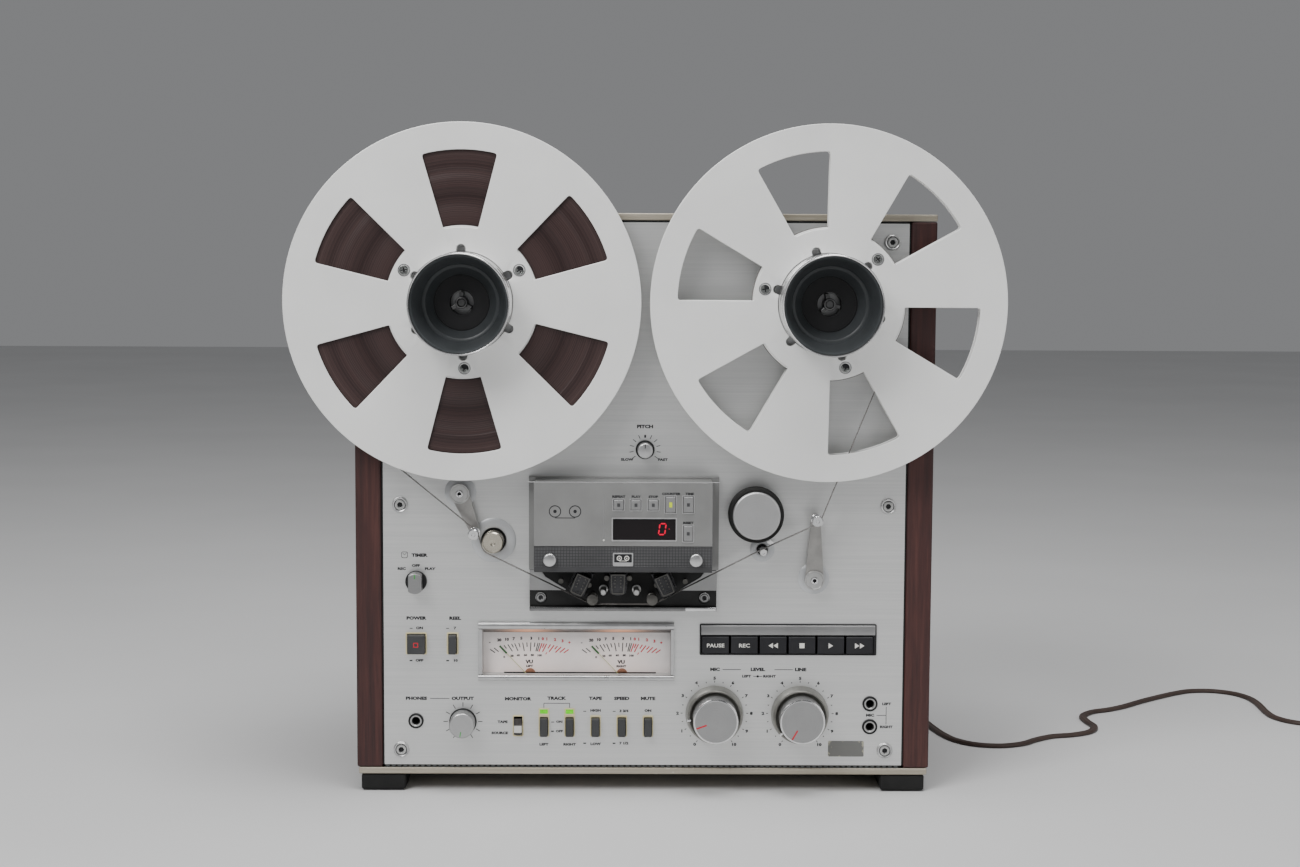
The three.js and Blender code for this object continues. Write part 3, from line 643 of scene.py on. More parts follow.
def sweep(line, section):
    bm = bmesh.new()
    rings = []
    side = None
    for i, point in enumerate(line):
        ahead = (line[min(i + 1, len(line) - 1)] - line[max(i - 1, 0)]).normalized()
        level = ahead.cross(Vector((0, 0, 1)))
        side = level.normalized() if level.length > 0.2 else side
        up = side.cross(ahead)
        ring = [bm.verts.new(point + side * x + up * z) for x, z in section]
        rings.append([bm.edges.new(pair) for pair in zip(ring, ring[1:] + ring[:1])])
    for first, second in zip(rings, rings[1:]):
        bmesh.ops.bridge_loops(bm, edges=first + second)
    for ring in (rings[0], rings[-1]):
        bmesh.ops.contextual_create(bm, geom=ring)
    bmesh.ops.recalc_face_normals(bm, faces=bm.faces)
    return bm


lead = piece("mains_lead", sweep(cord_line, twin_section()), CORD_BROWN,
             replaces=("power_cord", "cord_coil"), place=Matrix.Identity(4))
print("lead faces", len(lead.data.polygons))

# %% [markdown]
# ## Strain relief and plug
#
# The relief is a turned rubber sleeve with ribs, so it bends without breaking the cores. The plug is
# two bevelled halves of one outline with a waist for the fingers, and two round pins with dark
# insulated roots.

# %% Strain relief and plug
gland_low, gland_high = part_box("cord_gland")
GLAND_X = (gland_low[0] + gland_high[0]) * 500
GLAND_Z = (gland_low[2] + gland_high[2]) * 500
GLAND_Y = (gland_low[1] - PANEL_Y) * 1000 + 6


def relief():
    profile = [(0, -6), (7, -6), (7, 0.3), (9, 0.3), (9, 2.4), (8.4, 3)]
    for i in range(6):
        y = 4 + 3.8 * i
        radius = 7.1 - 0.42 * i
        profile += [(radius, y), (radius, y + 2.2), (radius - 0.8, y + 2.6), (radius - 0.8, y + 3.4)]
    profile += [(4.6, 27.4), (4.2, 28), (0, 28)]
    return turned([(r, y + GLAND_Y) for r, y in profile], GLAND_X, GLAND_Z, 48)


def plug_body():
    half, neck, length, thick = 17.65, 7.0, 34.0, 13.7
    right = [(neck, 0), (neck, -7), (neck + 2.5, -12), (half - 2.2, -17.5), (half - 0.4, -20),
             (half, -23), (half - 0.9, -28), (half - 0.4, -length)]
    outline = right + [(-x, y) for x, y in reversed(right)]
    bm = plate(outline, 0, thick, edge=1.6, segments=3)
    bmesh.ops.rotate(bm, verts=bm.verts, cent=(0, 0, 0), matrix=Matrix.Rotation(deg(90), 3, "X"))
    bmesh.ops.scale(bm, verts=bm.verts, vec=(1, -1, 1))
    return recalculated(bm)


plug_low, plug_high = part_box("power_plug")
PLUG_AT = Matrix.Translation(((plug_low[0] + plug_high[0]) / 2, plug_high[1], 0)) @ Matrix.Scale(0.001, 4)


def plug_pins():
    parts = []
    for x in (-9.3, 9.3):
        parts.append(turned([(0, -53), (1.2, -53), (2, -52.2), (2, -33.5), (0, -33.5)], x, 6.85, 24))
    return together(*parts)


gland = piece("lead_relief", relief(), RUBBER, replaces="cord_gland")
plug = piece("mains_plug", plug_body(), BLACK, replaces="power_plug", place=PLUG_AT)
pins = piece("plug_pins", plug_pins(), CHROME, place=PLUG_AT)
print("plug and relief made")

# %% [markdown]
# ## Screws, print and outlines
#
# A few small things repeat all over the deck: a screw head whose recess is a hole in a plate with a
# dark disc of painted shade behind it, a corner that is rounded before an outline is filled, and printed
# lettering.
# Lettering is a text object turned to a mesh straight away: it is only a few hundredths of a
# millimetre thick, like silk-screened ink.

# %% Screws, print and outlines
def bounds(name):
    """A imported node's box in the deck's millimetres: x0, x1, y0, y1, z0, z1."""
    low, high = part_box(name)
    shift = (0, PANEL_Y, 0)
    return tuple((end[k] - shift[k]) * 1000 for k in range(3) for end in (low, high))


def fillet(points, radius, steps=4):
    """Round the sharp corners of a closed outline."""
    out = []
    for i, point in enumerate(points):
        here = Vector(point)
        back, ahead = Vector(points[i - 1]) - here, Vector(points[(i + 1) % len(points)]) - here
        angle = back.angle(ahead)
        if angle > deg(150):
            out.append(tuple(here))
            continue
        cut = min(radius / math.tan(angle / 2), back.length * 0.45, ahead.length * 0.45)
        start, end = here + back.normalized() * cut, here + ahead.normalized() * cut
        for k in range(steps + 1):
            t = k / steps
            out.append(tuple(start * (1 - t) ** 2 + here * 2 * t * (1 - t) + end * t * t))
    return out


def star(inner, outer, half, count=4, start=0.0, x=0.0, z=0.0):
    """A round hole with straight slots, or a cross when inner is small."""
    points = []
    for k in range(count):
        middle = start + 360 * k / count
        along = Vector((math.cos(deg(middle)), math.sin(deg(middle))))
        side = Vector((-along.y, along.x))
        root = math.sqrt(max(inner * inner - half * half, half * half))
        corners = (along * root - side * half, along * outer - side * half,
                   along * outer + side * half, along * root + side * half)
        points += [(c.x + x, c.y + z) for c in corners]
        if inner > half * 1.5:
            edge = math.degrees(math.asin(half / inner))
            points += arc(inner, middle + edge, middle + 360 / count - edge, 6, x, z)[1:-1]
    return points


def screw(x, z, y, radius, recess="cross", turn=0.0, tall=0.9):
    """A screw head standing tall millimetres proud of a face at y, open where the driver goes."""
    if recess == "hex":
        hole = arc(radius * 0.55, turn, turn + 360, 6, x, z)[:-1]
    else:
        hole = star(0.0, radius * 0.62, radius * 0.14, 4, turn, x, z)
    return plate(circle(radius, 28, x, z), y - tall, y - 0.3, [hole], edge=min(0.28, radius * 0.1))


def recess_shade_disc(x, z, y, radius):
    """The dark disc at the bottom of a screw's recess: painted shade."""
    return turned([(0, y - 0.28), (radius * 0.9, y - 0.28), (radius * 0.9, y - 0.01), (0, y - 0.01)], x,
                  z, 24)


def lettering(text, x, z, size, y=-0.03, weight=0.06, wide=1.25):
    """Printed text, centred on x, z, on a face just behind y."""
    curve = bpy.data.curves.new("print", "FONT")
    curve.body = text
    curve.size = size
    curve.extrude = 0.02
    curve.offset = weight * size
    curve.align_x = "CENTER"
    curve.align_y = "CENTER"
    curve.resolution_u = 2
    holder = bpy.data.objects.new("print", curve)
    mesh = bpy.data.meshes.new_from_object(holder)
    bm = bmesh.new()
    bm.from_mesh(mesh)
    bpy.data.objects.remove(holder)
    bpy.data.curves.remove(curve)
    bpy.data.meshes.remove(mesh)
    bmesh.ops.scale(bm, verts=bm.verts, vec=(wide, 1, 1))
    bmesh.ops.rotate(bm, verts=bm.verts, cent=(0, 0, 0), matrix=Matrix.Rotation(deg(90), 3, "X"))
    bmesh.ops.translate(bm, verts=bm.verts, vec=(x, y, z))
    return recalculated(bm)


def stroke(x0, z0, x1, z1, width=0.3, y=-0.03, thick=0.04):
    """A straight printed line."""
    length = math.hypot(x1 - x0, z1 - z0)
    bm = block(0, length, y - thick / 2, y + thick / 2, -width / 2, width / 2, 0)
    return moved(bm, (x0, 0, z0), math.degrees(math.atan2(z1 - z0, x1 - x0)))


def dial_mark(x, z, angle, inner, outer, width=0.4, y=-0.03):
    c, s = math.cos(deg(angle)), math.sin(deg(angle))
    return stroke(x + inner * c, z + inner * s, x + outer * c, z + outer * s, width, y)


SCREW_STEEL = plain_metal("screw_steel", (0.26, 0.27, 0.26), (0.40, 0.41, 0.40), 0.2)
print("small parts ready")

# %% [markdown]
# ## Case
#
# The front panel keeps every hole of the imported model; its edges are broken by a fine bevel that
# catches the light. Wooden sides stand a little proud of it above and below. The top and bottom pans
# are covered with foil, and between the panel and the bottom pan a dark comb marks the air inlet.

# %% Case
front = from_node("front_panel")
piece("panel", soften(front, 0.35, 2, 60), PANEL_METAL, replaces="front_panel")
for side in ("left", "right"):
    node = f"side_panel_{side}"
    piece(f"side_{side}", block(*bounds(node), edge=1.4, segments=3), WOOD, replaces=node)
    node = f"foot_rail_{side}"
    x0, x1, y0, y1, z0, z1 = bounds(node)
    ribs = [block(x0 + 5, x1 - 5, y0 + 10 + 24 * i, y0 + 26 + 24 * i, z0, z0 + 1.2, 0.3) for i in range(8)]
    piece(f"foot_{side}", together(block(x0, x1, y0, y1, z0 + 0.8, z1, 2.0, 4), *ribs), RUBBER,
          replaces=node)
piece("top_pan", soften(from_node("top_cover"), 0.7, 3, 60), FOIL, replaces="top_cover")
piece("bottom_pan", soften(from_node("bottom_plate"), 0.7, 3, 60), FOIL,
      replaces="bottom_plate")
comb = [block(-198 + 4.5 * i, -195.2 + 4.5 * i, 0.3, 1.9, 18.75, 20.5, 0.15) for i in range(88)]
piece("air_comb", together(*comb), DARK_GREY)
piece("air_inlet", block(-198.6, 198.6, 2, 5, 18.72, 20.8, 0.2), BLACK)
seams = []
for x in (-199.65, 199.65):
    seams.append(block(x - 0.6, x + 0.6, 1.2, 4, 21, 436.9, 0.15))
piece("panel_seams", together(*seams, block(-198.6, 198.6, 1.4, 4, 437.1, 438.4, 0.1)), BLACK)

# %% [markdown]
# ## Back of the case
#
# The back is one black sheet with two rows of vents and screws round its edge. Line sockets, an earth
# post and a fuse cap sit low down, where a deck of this kind has them.

# %% Back of the case
BACK_Y = bounds("back_cover")[3]
piece("back_sheet", soften(from_node("back_cover"), 0.35, 2, 60), BLACK_METAL,
      replaces="back_cover")


def mirrored(bm, y=0.0):
    """Face the viewer's front part to the rear: a half turn about z through y."""
    bmesh.ops.rotate(bm, verts=bm.verts, cent=(0, y, 0), matrix=Matrix.Rotation(math.pi, 3, "Z"))
    return bm


def rear_screw(x, z, turn):
    return mirrored(screw(-x, z, -BACK_Y, 3.4, turn=turn))


spots = [(x, z) for x in (-190, 0, 190) for z in (28, 430)] + [(x, z) for x in (-190, 190) for z in (160,
    300)]
piece("rear_screws", together(*(rear_screw(x, z, 17 * i) for i, (x, z) in enumerate(spots))), SCREW_STEEL)
# painted shade in the rear screws' recesses
piece("rear_screw_floors", together(*(mirrored(recess_shade_disc(-x, z, -BACK_Y, 3.4)) for x, z in spots)), INK_AND_SHADE)
sockets, insulators = [], []
for column in range(3):
    for row in range(2):
        x, z = 40 + 24 * column, 66 + 22 * row
        shell = [(3.1, -8.5), (4.1, -8.5), (4.3, -8), (4.3, -1.2), (6.2, -1.2), (6.2, 0), (3.1, 0)]
        sockets.append(mirrored(turned([(r, y - BACK_Y) for r, y in shell], x, z, 32)))
        core = [(1.1, -8), (3, -8), (3, -0.1), (1.1, -0.1)]
        insulators.append(mirrored(turned([(r, y - BACK_Y) for r, y in core], x, z, 24)))
post = [(0, -11), (4.2, -11), (4.8, -10.4), (4.8, -5), (2.2, -4.6), (2.2, -1.5), (5, -1.4), (5, 0), (0, 0)]
sockets.append(mirrored(turned([(r, y - BACK_Y) for r, y in post], 122, 77, 32)))
fuse = [(0, -12), (5.6, -12), (6.6, -11), (6.6, -2.5), (8.2, -2.4), (8.2, 0), (0, 0)]
insulators.append(mirrored(turned([(r, y - BACK_Y) for r, y in fuse], -130, 77, 36)))
piece("line_sockets", together(*sockets), STEEL)
piece("socket_insulators", together(*insulators), BLACK)
border = mirrored(plate(rounded(28, 106, 54, 102, 3), -BACK_Y - 0.25, -BACK_Y,
                        [rounded(29, 105, 55, 101, 2.5)]))
piece("socket_border", border, WHITE_INK)
print("case done")

# %% [markdown]
# ## Reels
#
# A flange is a thin plate with six keyhole windows and a notched bore, so it is one outline with
# seven holes. Both flanges share it. The hub between them is turned, and three screws clamp the
# stack. The supply reel carries the tape, whose edge shows as hundreds of faint rings.

# %% Reel shapes
REELS = {"supply": (-136.6, 0.8, (151, 29.5, -88)), "takeup": (136.6, 14.5, (167, 43, -75))}
REEL_Z = 377


def flange_holes():
    holes = []
    for k in range(6):
        middle = 90 + 60 * k
        outer = arc(113, middle - 14.3, middle + 14.3, 10)
        inner = arc(56, middle + 13.2, middle - 13.2, 6)
        holes.append(fillet(outer + inner, 3.2))
    bore, half = 38.1, 3.4
    base = math.degrees(math.asin(half / bore))
    points = []
    for k in range(6):
        middle = 30 + 60 * k
        along = Vector((math.cos(deg(middle)), math.sin(deg(middle))))
        tip = along * 40
        points += arc(bore, middle - base, middle - base, 1)[:1]
        points += arc(half, middle - 90, middle + 90, 8, tip.x, tip.y)
        points += arc(bore, middle + base, middle + 60 - base, 8)[:-1]
    return holes + [points]


def flange(x, turn, y0, y1):
    bm = plate(circle(133.35, 144), y0, y1, flange_holes(), edge=0.38)
    return moved(bm, (x, 0, REEL_Z), turn)


def hub(x):
    rim = [(47.2, -14.85), (57.1, -14.85), (57.1, -23.15), (47.2, -23.15)]
    return turned(rim, x, REEL_Z, 96, 0.3)


def reel_screws(x, angles):
    heads = []
    for i, angle in enumerate(angles):
        sx, sz = x + 49 * math.cos(deg(angle)), REEL_Z + 49 * math.sin(deg(angle))
        heads.append(screw(sx, sz, -24.7, 3.6, turn=31 * i + 9, tall=1.0))
    return together(*heads)


# painted shade in the clamping screws' recesses
def reel_screw_shade_discs(x, angles):
    return together(*(recess_shade_disc(x + 49 * math.cos(deg(a)), REEL_Z + 49 * math.sin(deg(a)), -24.7, 3.6)
                      for a in angles))


def screw_wells(x, angles):
    """The countersinks' bright rings round the clamping screws."""
    rings = []
    for angle in angles:
        sx, sz = x + 49 * math.cos(deg(angle)), REEL_Z + 49 * math.sin(deg(angle))
        rings.append(turned([(3.8, -24.7), (4.8, -24.7), (4.7, -24.82), (3.9, -24.82)], sx, sz, 32))
    return together(*rings)


for name, (x, turn, angles) in REELS.items():
    body = f"{name}_reel"
    piece(f"{name}_front_flange", flange(x, turn, -24.7, -23.5), REEL_METAL, body,
          f"{name}_flange_front")
    back = together(flange(x, turn, -14.8, -13.6), hub(x))
    piece(f"{name}_back_flange", back, REEL_METAL, body, f"{name}_flange_back")
    piece(f"{name}_clamp_screws", reel_screws(x, angles), SCREW_STEEL, body)
    # painted shade in the clamping screws' recesses
    piece(f"{name}_screw_floors", reel_screw_shade_discs(x, angles), INK_AND_SHADE, body)
    piece(f"{name}_screw_wells", screw_wells(x, angles), CHROME, body)
SUPPLY_TAPE = wound_tape((-0.1366, 0.377))
pack_profile = [(57.5, -15.95), (57.5, -22.15), (60, -22.3), (71, -22.3), (72, -22.12), (84, -22.2),
                (85, -22.35),
                (94, -22.3), (95.5, -21.9), (98.5, -21.9), (100, -22.35), (110, -22.15), (111, -22.3),
                (126.2, -22.2), (126.5, -22), (126.5, -15.95)]
piece("tape_winding", turned(pack_profile, REELS["supply"][0], REEL_Z, 160), SUPPLY_TAPE, "supply_reel",
      "tape_pack")
print("reels done")

# %% [markdown]
# ## Adapters and spindles
#
# Each adapter is a bright turned barrel round a dark, stepped bowl. At its bottom the tip of the
# spindle shows with its three wings. Behind the reel sits a table, and behind the panel the outer
# rotor of the reel motor.

# %% Adapters and spindles
def adapter_barrel(x):
    return turned([
        (35.95, -58.6), (35.95, -61.2), (36.3, -61.8), (37.0, -62), (37.5, -61.6), (37.7, -60.8),
        (37.7, -58.3),
        (37.1, -58.0), (37.1, -57.3), (37.7, -57.0), (37.7, -52.2), (37.2, -51.4), (36.4, -50), (36.4, -40),
        (37.7, -38), (37.7, -13.6), (35.0, -13.6), (35.0, -56.0)], x, REEL_Z, 128)


def adapter_bowl(x):
    return turned([
        (21.0, -26.0), (20.9, -28.4), (21.6, -29.4), (26.2, -36.4), (26.9, -36.9), (28.4, -37.1),
        (29.0, -37.9),
        (29.4, -40.4), (34.3, -58.2), (34.9, -59.2), (35.8, -59.4), (35.8, -58.0), (34.9, -55.0),
        (29.6, -35.6),
        (22.4, -26.0)], x, REEL_Z, 112)


def adapter_floor(x, turn):
    bm = plate(circle(34.8, 72), -27, -13.7, [circle(8.9, 48)], edge=0.25)
    ring = turned([(9.6, -27.5), (10.2, -27.5), (10.2, -26.9), (9.6, -26.9)], 0, 0, 48)
    outer = turned([(19.6, -27.4), (20.4, -27.4), (20.4, -26.9), (19.6, -26.9)], 0, 0, 64)
    return moved(together(bm, ring, outer), (x, 0, REEL_Z), turn)


def spindle_tip(x, turn):
    shaft = turned([(0, -29.2), (2.5, -29.2), (2.7, -30.4), (3.3, -31), (4.2, -30.8), (4.6, -30),
                    (4.6, -13.3),
                    (0, -13.3)], 0, 0, 48)
    wings = []
    for angle in (90, 210, 330):
        wings.append(moved(block(4.3, 8.2, -29, -13, -1.4, 1.4, 0.3), (0, 0, 0), angle))
    return moved(together(shaft, *wings), (x, 0, REEL_Z), turn)


def reel_table(x):
    disc = [(8.2, -13.3), (41, -13.3), (41.4, -13), (44.6, -13), (45, -12.6), (45, -10), (44.5, -9.5),
            (8.2, -9.5)]
    return together(turned(disc, x, REEL_Z, 96), turned([(0, -13.2), (8, -13.2), (8, 30), (0, 30)], x,
                                                        REEL_Z, 48))


def rotor(x):
    drum = [(8.2, 30), (44, 30), (47.2, 31.2), (48, 33), (48, 70), (47, 72), (8.2, 72)]
    return turned(drum, x, REEL_Z, 96)


SPINDLE_STEEL = plain_metal("spindle_steel", (0.10, 0.10, 0.10), (0.18, 0.18, 0.18), 0.3)
for name, (x, turn, _) in REELS.items():
    barrel = turned_metal(f"{name}_barrel_metal", (x / 1000, REEL_Z / 1000), (0.66, 0.66, 0.66),
                          (0.82, 0.82, 0.82), 0.14)
    table = turned_metal(f"{name}_table_metal", (x / 1000, REEL_Z / 1000), (0.40, 0.40, 0.40),
                         (0.52, 0.52, 0.52), 0.3)
    body = f"{name}_adapter"
    piece(f"{name}_adapter_barrel", adapter_barrel(x), barrel, body, f"{name}_adapter")
    piece(f"{name}_adapter_bowl", adapter_bowl(x), BOWL_GREY, body)
    piece(f"{name}_adapter_floor", adapter_floor(x, turn), BLACK, body)
    piece(f"{name}_spindle_tip", spindle_tip(x, turn), SPINDLE_STEEL, f"{name}_reel",
          f"{name}_spindle")
    piece(f"{name}_reel_table", reel_table(x), table, f"{name}_reel")
    piece(f"{name}_rotor", rotor(x), BLACK_METAL, f"{name}_reel")
print("adapters done")

# %% [markdown]
# ## Tape path
#
# From the supply reel the tape runs round the guide of the left tension arm, under the impedance
# roller, past the heads, between capstan and pinch roller, and round the right arm's guide to the
# empty reel. Each pivot and shaft sits in a bright ring on the panel.

# %% Arms, rollers and capstan
LEFT_ARM = {"x": -140, "z": 232, "length": 31.2, "angle": -68.2}
RIGHT_ARM = {"x": 129.5, "z": 166.6, "length": 47.4, "angle": 89.4}
ARM_STEEL = plain_metal("brushed_arm", (0.33, 0.32, 0.31), (0.47, 0.46, 0.44), 0.28)


def arm_blade(arm):
    outline = arc(7.2, 90, 270, 20) + arc(3.6, -90, 90, 12, arm["length"])
    blade = plate(outline, -9, -6.5, edge=0.3)
    shaft = turned([(0, -6.6), (4.2, -6.6), (4.2, 16), (0, 16)], 0, 0, 32, 0.2)
    return moved(together(blade, shaft), (arm["x"], 0, arm["z"]), arm["angle"])


def arm_boss(arm):
    ring = [(3.0, -10.6), (6.2, -10.6), (6.6, -11.2), (7.5, -11.2), (7.7, -10.8), (7.7, -9.02), (3.0, -9.02)]
    return turned(ring, arm["x"], arm["z"], 56)


def arm_guide(arm):
    post = [(0, -26.6), (1.2, -26.6), (1.5, -27), (3.6, -27), (4.2, -26.4), (4.2, -24.9), (3.6, -24.5),
            (2.6, -24.5),
            (2.6, -16.4), (3.6, -16.2), (4.2, -15.9), (4.2, -14.7), (3.6, -14.5), (2.6, -14.5),
            (2.6, -9), (0, -9)]
    along = (arm["length"] * math.cos(deg(arm["angle"])), arm["length"] * math.sin(deg(arm["angle"])))
    return turned(post, arm["x"] + along[0], arm["z"] + along[1], 40)


def pivot_ring(x, z, outer, inner):
    """A flat white ring with a rolled edge, let into the panel round a pivot."""
    profile = [(inner, -0.05), (inner + 0.3, -1.1), (outer * 0.72, -1.5), (outer - 0.7, -0.8),
               (outer, -0.45), (outer, -0.05)]
    return turned(profile, x, z, 72)


for side, arm in (("left", LEFT_ARM), ("right", RIGHT_ARM)):
    body = f"tension_arm_{side}"
    piece(f"arm_{side}_blade", arm_blade(arm), ARM_STEEL, body, body)
    piece(f"arm_{side}_boss", arm_boss(arm), STEEL, body)
    piece(f"arm_{side}_screw", screw(arm["x"], arm["z"], -9.1, 2.8, "hex", 20, 2.4), CHROME, body)
    # painted shade in the arm screw's recess
    piece(f"arm_{side}_screw_floor", recess_shade_disc(arm["x"], arm["z"], -9.1, 2.8), INK_AND_SHADE, body)
    piece(f"arm_{side}_guide", arm_guide(arm), CHROME, body)
ROLLER_AT = (-114.7, 195.4)
roller = [(0, -14.4), (1.3, -14.4), (1.3, -15.6), (2.4, -16), (7.4, -16), (8.1, -15.4), (8.1, -6),
          (7.6, -5.8),
          (7.6, -5.2), (8.1, -5), (8.1, 8), (0, 8)]
brass = turned_metal("roller_brass", (ROLLER_AT[0] / 1000, ROLLER_AT[1] / 1000), (0.50, 0.46, 0.38),
                     (0.68, 0.64, 0.55), 0.16)
piece("impedance_brass", turned(roller, *ROLLER_AT, 64), brass, "impedance_roller",
      "impedance_roller")
axle = [(0, 7.5), (3, 7.5), (3, 45), (0, 45)]
piece("impedance_axle", turned(axle, *ROLLER_AT, 32, 0.3), STEEL, "impedance_roller")
CAPSTAN_AT = (90, 189)
capstan = [(0, -16.8), (1.3, -16.8), (1.3, -18), (2.5, -18), (2.9, -17.5), (2.9, 25), (0, 25)]
piece("capstan_shaft", turned(capstan, *CAPSTAN_AT, 48), CHROME, "capstan", "capstan")
wheel = [(0, 25), (34, 25), (34, 27), (37, 27), (38, 28), (38, 41), (36, 43), (0, 43)]
piece("flywheel", turned(wheel, *CAPSTAN_AT, 96), STEEL, "capstan")
PALE_RING = moulded("pale_ring", (0.50, 0.51, 0.52), (0.60, 0.61, 0.62), 0.35, 1800, 0.00001, metallic=0.3)
rings = [pivot_ring(arm["x"], arm["z"], 12, 5.4) for arm in (LEFT_ARM, RIGHT_ARM)]
rings += [pivot_ring(*ROLLER_AT, 17, 9.6), pivot_ring(*CAPSTAN_AT, 9.4, 4.4)]
piece("pivot_rings", together(*rings), PALE_RING)
wells = [turned([(8.7, -0.9), (9.5, -0.9), (9.5, 6), (8.7, 6)], *ROLLER_AT, 48),
         turned([(3.3, -0.9), (4.2, -0.9), (4.2, 8), (3.3, 8)], *CAPSTAN_AT, 40)]
piece("shaft_wells", together(*wells), BLACK)
bracket = plate(fillet([(90.6, 197.2), (96.6, 192.6), (98.4, 194.8), (92.4, 199.6)], 0.6), -6.4, -1.2,
                edge=0.25)
piece("pinch_stop", bracket, CHROME)
print("arms and shafts done")

# %% [markdown]
# ## Pinch roller
#
# The tyre is black rubber with a slightly crowned tread. A spun aluminium cap hides its axle, and the
# lever that carries both works behind the panel.

# %% Pinch roller
PINCH_AT = (84.2, 217.7)
tyre = [(4.2, -8), (19.6, -8), (20.8, -9), (21, -12), (21, -18.5), (20.8, -21.4), (19.8, -22.5), (4.2, -22.5)]
piece("pinch_tyre", turned(tyre, *PINCH_AT, 96), RUBBER, "pinch_roller", "pinch_roller")
cap_metal = turned_metal("pinch_cap_metal", (0.0842, 0.2177), (0.44, 0.44, 0.44), (0.54, 0.54, 0.54),
                         0.34, 0.9)
cap = [(0, -25.4), (16.6, -25.4), (17.4, -25.2), (18.0, -24.6), (18.1, -23.8), (18.1, -22.9), (0, -22.9)]
lever = moved(plate(fillet([(-47, -7), (7, -7), (7, 7), (-47, 7)], 6.5, 6), 5, 8, edge=0.4),
              (PINCH_AT[0], 0, PINCH_AT[1]), 11.4)
axle = turned([(0, -22.8), (3.7, -22.8), (3.7, 6), (0, 6)], *PINCH_AT, 32)
far = (PINCH_AT[0] - 40 * math.cos(deg(11.4)), PINCH_AT[1] - 40 * math.sin(deg(11.4)))
pin = turned([(0, 4), (4, 4), (4, 14), (0, 14)], *far, 32, 0.3)
piece("pinch_cap", turned(cap, *PINCH_AT, 96), cap_metal, "pinch_arm", "pinch_arm")
piece("pinch_lever", together(lever, axle, pin), STEEL, "pinch_arm")
piece("pinch_slot", turned([(4.2, 1.0), (9.4, 1.0), (9.4, 2.6), (4.2, 2.6)], 84.7, 215.2, 40), BLACK)

# %% [markdown]
# ## The threaded tape
#
# Six strands, each a strip 6.35 mm wide and a little thicker than real tape so that it renders
# cleanly. A straight run that ends on a swinging arm rides on no body.

# %% The threaded tape
TAPE_FILM = moulded("tape_film", (0.15, 0.14, 0.135), (0.21, 0.20, 0.19), 0.26, 900, 0.00001)
TAPE_BACK, TAPE_FRONT = -15.98, -22.33
LEFT_TIP = (LEFT_ARM["x"] + 31.2 * math.cos(deg(-68.2)), LEFT_ARM["z"] + 31.2 * math.sin(deg(-68.2)))
RIGHT_TIP = (RIGHT_ARM["x"] + 47.4 * math.cos(deg(89.4)), RIGHT_ARM["z"] + 47.4 * math.sin(deg(89.4)))


def tangent(a, ra, b, rb, side_a, side_b):
    """The ends of the straight line that touches two circles; side is 1 for the left, -1 the right."""
    (ax, az), (bx, bz) = a, b
    distance = math.hypot(bx - ax, bz - az)
    heading = math.atan2(bz - az, bx - ax)
    offset = math.asin((side_a * ra - side_b * rb) / distance)
    normal = heading + math.pi / 2 - offset
    n = (math.cos(normal), math.sin(normal))
    return (ax + n[0] * ra * side_a, az + n[1] * ra * side_a), (bx + n[0] * rb * side_b,
        bz + n[1] * rb * side_b)


def strand(points, thick=0.1):
    """A closed strip along points, (x, z), across the tape's width."""
    half = thick / 2
    left, right = [], []
    for i, (x, z) in enumerate(points):
        ax, az = points[max(i - 1, 0)]
        bx, bz = points[min(i + 1, len(points) - 1)]
        length = math.hypot(bx - ax, bz - az)
        nx, nz = -(bz - az) / length * half, (bx - ax) / length * half
        left.append((x + nx, z + nz))
        right.append((x - nx, z - nz))
    return plate(left + right[::-1], TAPE_FRONT, TAPE_BACK)


def split(start, end, steps=8):
    return [(start[0] + (end[0] - start[0]) * i / steps, start[1] + (end[1] - start[1]) * i / steps)
            for i in range(steps + 1)]


def wrap(centre, radius, start, end):
    """The short arc round a circle between two touching points."""
    a = math.degrees(math.atan2(start[1] - centre[1], start[0] - centre[0]))
    b = math.degrees(math.atan2(end[1] - centre[1], end[0] - centre[0]))
    while b - a > 180:
        b -= 360
    while b - a < -180:
        b += 360
    return arc(radius, a, b, 8, *centre)


def touching(*circles):
    """Straight runs between neighbouring circles, (centre, radius, side of travel)."""
    return [tangent(a, ra, b, rb, sa, sb) for (a, ra, sa), (b, rb, sb) in zip(circles, circles[1:])]


def bend_with(obj, first, second, start, end):
    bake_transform(obj)


REEL_LEFT, REEL_RIGHT = (-136.6, REEL_Z), (136.6, REEL_Z)
stops = [(REEL_LEFT, 126.55, -1), (LEFT_TIP, 2.75, 1), (ROLLER_AT, 8.25, -1), ((-39.1, 153.5), 3.75, -1),
         ((6, 153.5), 3.75, -1), (CAPSTAN_AT, 3.05, 1), (RIGHT_TIP, 2.75, -1), (REEL_RIGHT, 57.3, -1)]
runs = touching(*stops)


def wrapped(i):
    """The arc of tape on stop i, between the run that arrives and the run that leaves."""
    centre, radius, _ = stops[i]
    return wrap(centre, radius, runs[i - 1][1], runs[i][0])


def blended(name, run, first, second):
    made = piece(name, strand(split(*run)), TAPE_FILM, None)
    bend_with(made, first, second, *run)


blended("tape_from_supply", runs[0], "case", "tension_arm_left")
piece("tape_on_left_guide", strand(wrapped(1)), TAPE_FILM, "tension_arm_left")
blended("tape_to_roller", runs[1], "tension_arm_left", "case")
heads_run = wrapped(2) + wrapped(3) + wrapped(4) + wrapped(5)
piece("tape_past_heads", strand(heads_run), TAPE_FILM)
blended("tape_to_right_guide", runs[5], "case", "tension_arm_right")
piece("tape_on_right_guide", strand(wrapped(6)), TAPE_FILM, "tension_arm_right")
blended("tape_to_takeup", runs[6], "tension_arm_right", "case")
first_turns = [(57.2, TAPE_BACK), (57.2, TAPE_FRONT), (57.65, TAPE_FRONT), (57.65, TAPE_BACK)]
piece("tape_on_hub", turned(first_turns, *REEL_RIGHT, 128), TAPE_FILM, "takeup_reel")
print("tape threaded,", len(runs), "runs")

